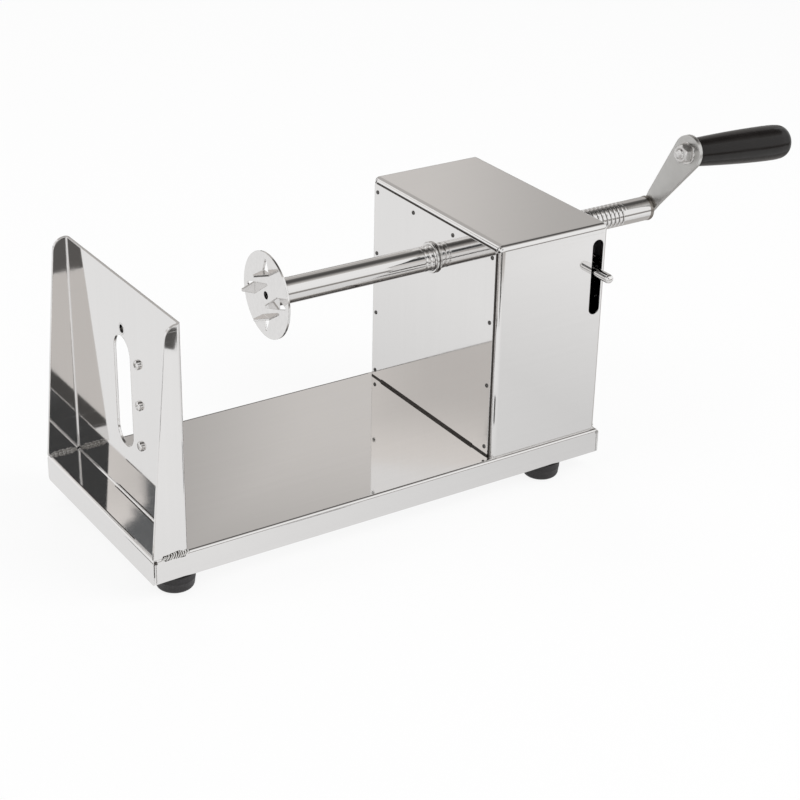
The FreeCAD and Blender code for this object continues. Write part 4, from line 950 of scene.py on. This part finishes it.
def card_material(name, greys, middle, across, up, warmth):
    """A card whose grey changes from its middle to its edge, or from its foot to its head."""
    material, tree, output, place = bare_material(name)
    offset = add(tree, "VectorMath", {0: place, 1: tuple(middle)},
                 operation="SUBTRACT").outputs[0]

    def reach(way):
        return add(tree, "VectorMath", {0: offset, 1: tuple(way / way.length_squared)},
                   operation="DOT_PRODUCT").outputs["Value"]

    if across is None:
        far = math_step(tree, "MULTIPLY_ADD", reach(up), 0.5, 0.5)
    else:
        far = math_step(tree, "MAXIMUM", math_step(tree, "ABSOLUTE", reach(across)),
                        math_step(tree, "ABSOLUTE", reach(up)))
    ramp = tree.nodes.new("ShaderNodeValToRGB")
    ramp.color_ramp.interpolation = "EASE"
    marks = ramp.color_ramp.elements
    for index, (share, level) in enumerate(greys):
        mark = marks[index] if index < 2 else marks.new(share)
        mark.position = share
        mark.color = (*grey(level, warmth), 1)
    tree.links.new(far, ramp.inputs[0])
    matt = add(tree, "BsdfDiffuse", {"Color": (0.5, 0.5, 0.5, 1)})
    glowing(tree, output, matt, ramp.outputs[0], 0.0)
    return material


def stage_sheet(name, corners, material):
    """A flat stage sheet through points in metres."""
    mesh = bpy.data.meshes.new(name)
    mesh.from_pydata([tuple(c) for c in corners], [], [tuple(range(len(corners)))])
    mesh.materials.append(material)
    sheet = place_object(name, mesh)
    return sheet


def mirrored_only(sheet):
    """Keeps a card out of view and out of the light, so that only polished faces see it."""
    sheet.visible_camera = False
    sheet.visible_diffuse = False
    sheet.visible_shadow = False


def grey(level, warmth):
    """A studio grey that leans a little to warm, or to blue where the warmth is negative."""
    return level, level * (1 - 0.035 * warmth), level * (1 - 0.065 * warmth)


# The point of the machine that cards and lamps face, in metres.
AIM = (0, 0, 0.1)


def reflector(name, centre, width, height, greys, aim=AIM, rising=False, warmth=1.0):
    """A card beside the set that only polished surfaces see.

    Its greys are one level, or pairs of share and level from the middle to the edge; rising
    ones run from the foot of the card to its head.
    """
    centre = Vector(centre)
    facing = (Vector(aim) - centre).normalized()
    across = facing.cross(Vector((0, 0, 1))).normalized() * (width / 2)
    up = across.normalized().cross(facing) * (height / 2)
    corners = [centre - across - up, centre + across - up, centre + across + up,
               centre - across + up]
    if isinstance(greys, float):
        greys = [(0, greys), (1, greys)]
    material = card_material(name, greys, centre, None if rising else across, up, warmth)
    mirrored_only(stage_sheet(name, corners, material))


def plain_card(name, corners, level, warmth=1.0):
    """A card of one grey with any outline."""
    middle = sum((Vector(c) for c in corners), Vector()) / len(corners)
    material = card_material(name, [(0, level), (1, level)], middle, None, Vector((0, 1, 0)),
                             warmth)
    mirrored_only(stage_sheet(name, corners, material))


def floor_card(name, corners, level, height=0.0006):
    """A grey card that lies on the floor beside the machine, seen only in polished faces."""
    plain_card(name, [(x, y, height) for x, y in corners], level)


def lamp(name, centre, width, height, power):
    """A soft box that looks at the machine and isn't mirrored."""
    light = bpy.data.lights.new(name, "AREA")
    light.shape = "RECTANGLE"
    light.size, light.size_y = width, height
    light.energy = power
    placed = place_object(name, light)
    placed.matrix_world = toward(Vector(centre), Vector(centre) - Vector(AIM))
    placed.visible_glossy = False


def make_world():
    """White where it is seen or mirrored, and a plain pale light otherwise."""
    world = bpy.data.worlds.new("studio")
    bpy.context.scene.world = world
    world.use_nodes = True
    tree = world.node_tree
    tree.nodes.clear()
    light, seen_white = (add(tree, "Background", {"Color": (1, 1, 1, 1), "Strength": strength})
                         for strength in (0.5, 1.0))
    mixed = add(tree, "MixShader", {0: where_seen(tree), 1: light.outputs[0],
                                    2: seen_white.outputs[0]})
    add(tree, "OutputWorld", {"Surface": mixed.outputs[0]})


def make_dark_patch():
    """The ragged dark card that the tray's left end mirrors, drawn in steps across and down."""
    start, across, down = ((-0.5613, 0.6303, 0.4387), (-0.0010, -0.00049, 0.00006),
                           (0.00027, -0.00048, 0.00096))
    outline = [(7.5, -49), (9.5, -26), (8.5, -19), (10, -10), (6, -3), (-2, -4), (-7, -8),
               (-3, 1), (0, 5), (-10, 12), (-15, 17), (-18, 29), (-1, 64), (39, 64), (39, -49)]
    corners = [tuple(s + a * x + d * y for s, a, d in zip(start, across, down))
               for x, y in outline]
    plain_card("dark_patch", corners, 0.16, -1.2)


def make_stage():
    """Floor, cards and lamps. A card's middle, width and height are in metres."""
    half = 7.0
    stage_sheet("floor", [(-half, -half, 0), (half, -half, 0), (half, half, 0),
                          (-half, half, 0)], floor_material())
    reflector("back_wall", (1.0, 2.4, 1.5), 4.2, 2.6, 0.50)
    reflector("back_glow", (0.93, 1.60, 0.93), 0.80, 0.7, [(0, 0.68), (0.2, 0.68), (1, 0.50)])
    reflector("ceiling", (-0.2, 0.25, 1.7), 5.6, 2.2,
              [(0, 0.70), (0.173, 0.42), (0.273, 0.20), (0.4, 0.09), (0.536, 0.09),
               (0.668, 0.12), (0.795, 0.25), (0.873, 0.42), (1, 0.62)],
              aim=(-0.2, 0.251, 0), rising=True)
    reflector("left_back", (-1.14, 1.47, 0.88), 0.7, 0.36, [(0, 0.72), (0.2, 0.72), (1, 0.95)])
    reflector("left_room", (-1.8, -0.1, 1.0), 0.8, 0.5, [(0, 0.06), (1, 0.8)])
    reflector("front_room", (-1.15, -1.75, 1.30), 1.5, 0.8,
              [(0, 0.08), (0.62, 0.08), (1, 0.6)], warmth=-0.8)
    reflector("front_low_room", (-1.75, -1.97, 0.80), 1.0, 0.62,
              [(0, 0.06), (0.25, 0.10), (1, 0.9)])
    reflector("back_low", (0.5, 2.3, 0.14), 5.0, 0.24, 0.12)
    reflector("front_band", (0.75, -0.475, 0.083), 1.9, 0.162,
              [(0, 0.66), (0.5, 0.22), (1, 0.66)], aim=(0.75, 0, 0.083), rising=True)
    make_dark_patch()
    floor_card("far_floor", [(-0.37, -0.295), (-0.37, -0.6), (-0.6, -0.6), (-0.6, -0.285)], 0.14)
    floor_card("left_floor", [(-0.334, -0.2), (-0.3188, -0.2), (-0.3188, 0.012),
                              (-0.334, 0.012)], 0.09)
    floor_card("left_floor_grey", [(-0.6, -0.284), (-0.37, -0.294), (-0.329, -0.2),
                                   (-0.334, 0.0), (-0.42, 0.0)], 0.76, 0.0004)
    floor_card("front_floor", [(-0.112, -0.441), (-0.104, -0.431), (-0.078, -0.470),
                               (-0.096, -0.478)], 0.10)
    floor_card("front_left_floor", [(-0.36, -0.345), (-0.20, -0.315), (-0.155, -0.42),
                                    (-0.2, -0.52), (-0.36, -0.52)], 0.12)
    floor_card("near_floor", [(-0.122, -0.137), (-0.078, -0.180), (-0.103, -0.223),
                              (-0.165, -0.161)], 0.12)
    # Painted shadow: a mid-grey card on the floor to the machine's right, seen only in mirrors.
    floor_card("right_floor_painted_shadow", [(0.12, -0.10), (0.7, -0.10), (0.7, 0.25), (0.12, 0.25)], 0.52)
    lamp("front_box", (0.9, -1.3, 1.7), 1.4, 1.4, 23)
    lamp("left_box", (-1.6, 0.2, 1.5), 1.2, 1.2, 9)
    lamp("back_box", (0.2, 1.5, 1.8), 1.2, 1.2, 7.5)
    bpy.context.scene.view_settings.view_transform = "Standard"


make_camera()
make_world()
make_stage()
dress_nodes()
make_threaded_tube()
make_thread_shade()
make_all_screws()
make_feet()
make_collar("left", 273.9, 23.2, 1)
make_collar("right", 376.7, 17.5, -1)
make_hexagon_nut()
make_spindle_bolt()
make_grip()
make_welds()
make_box_corners()
make_panel_shade_lines()
make_plate_fillet()
make_foot_shade_lines()
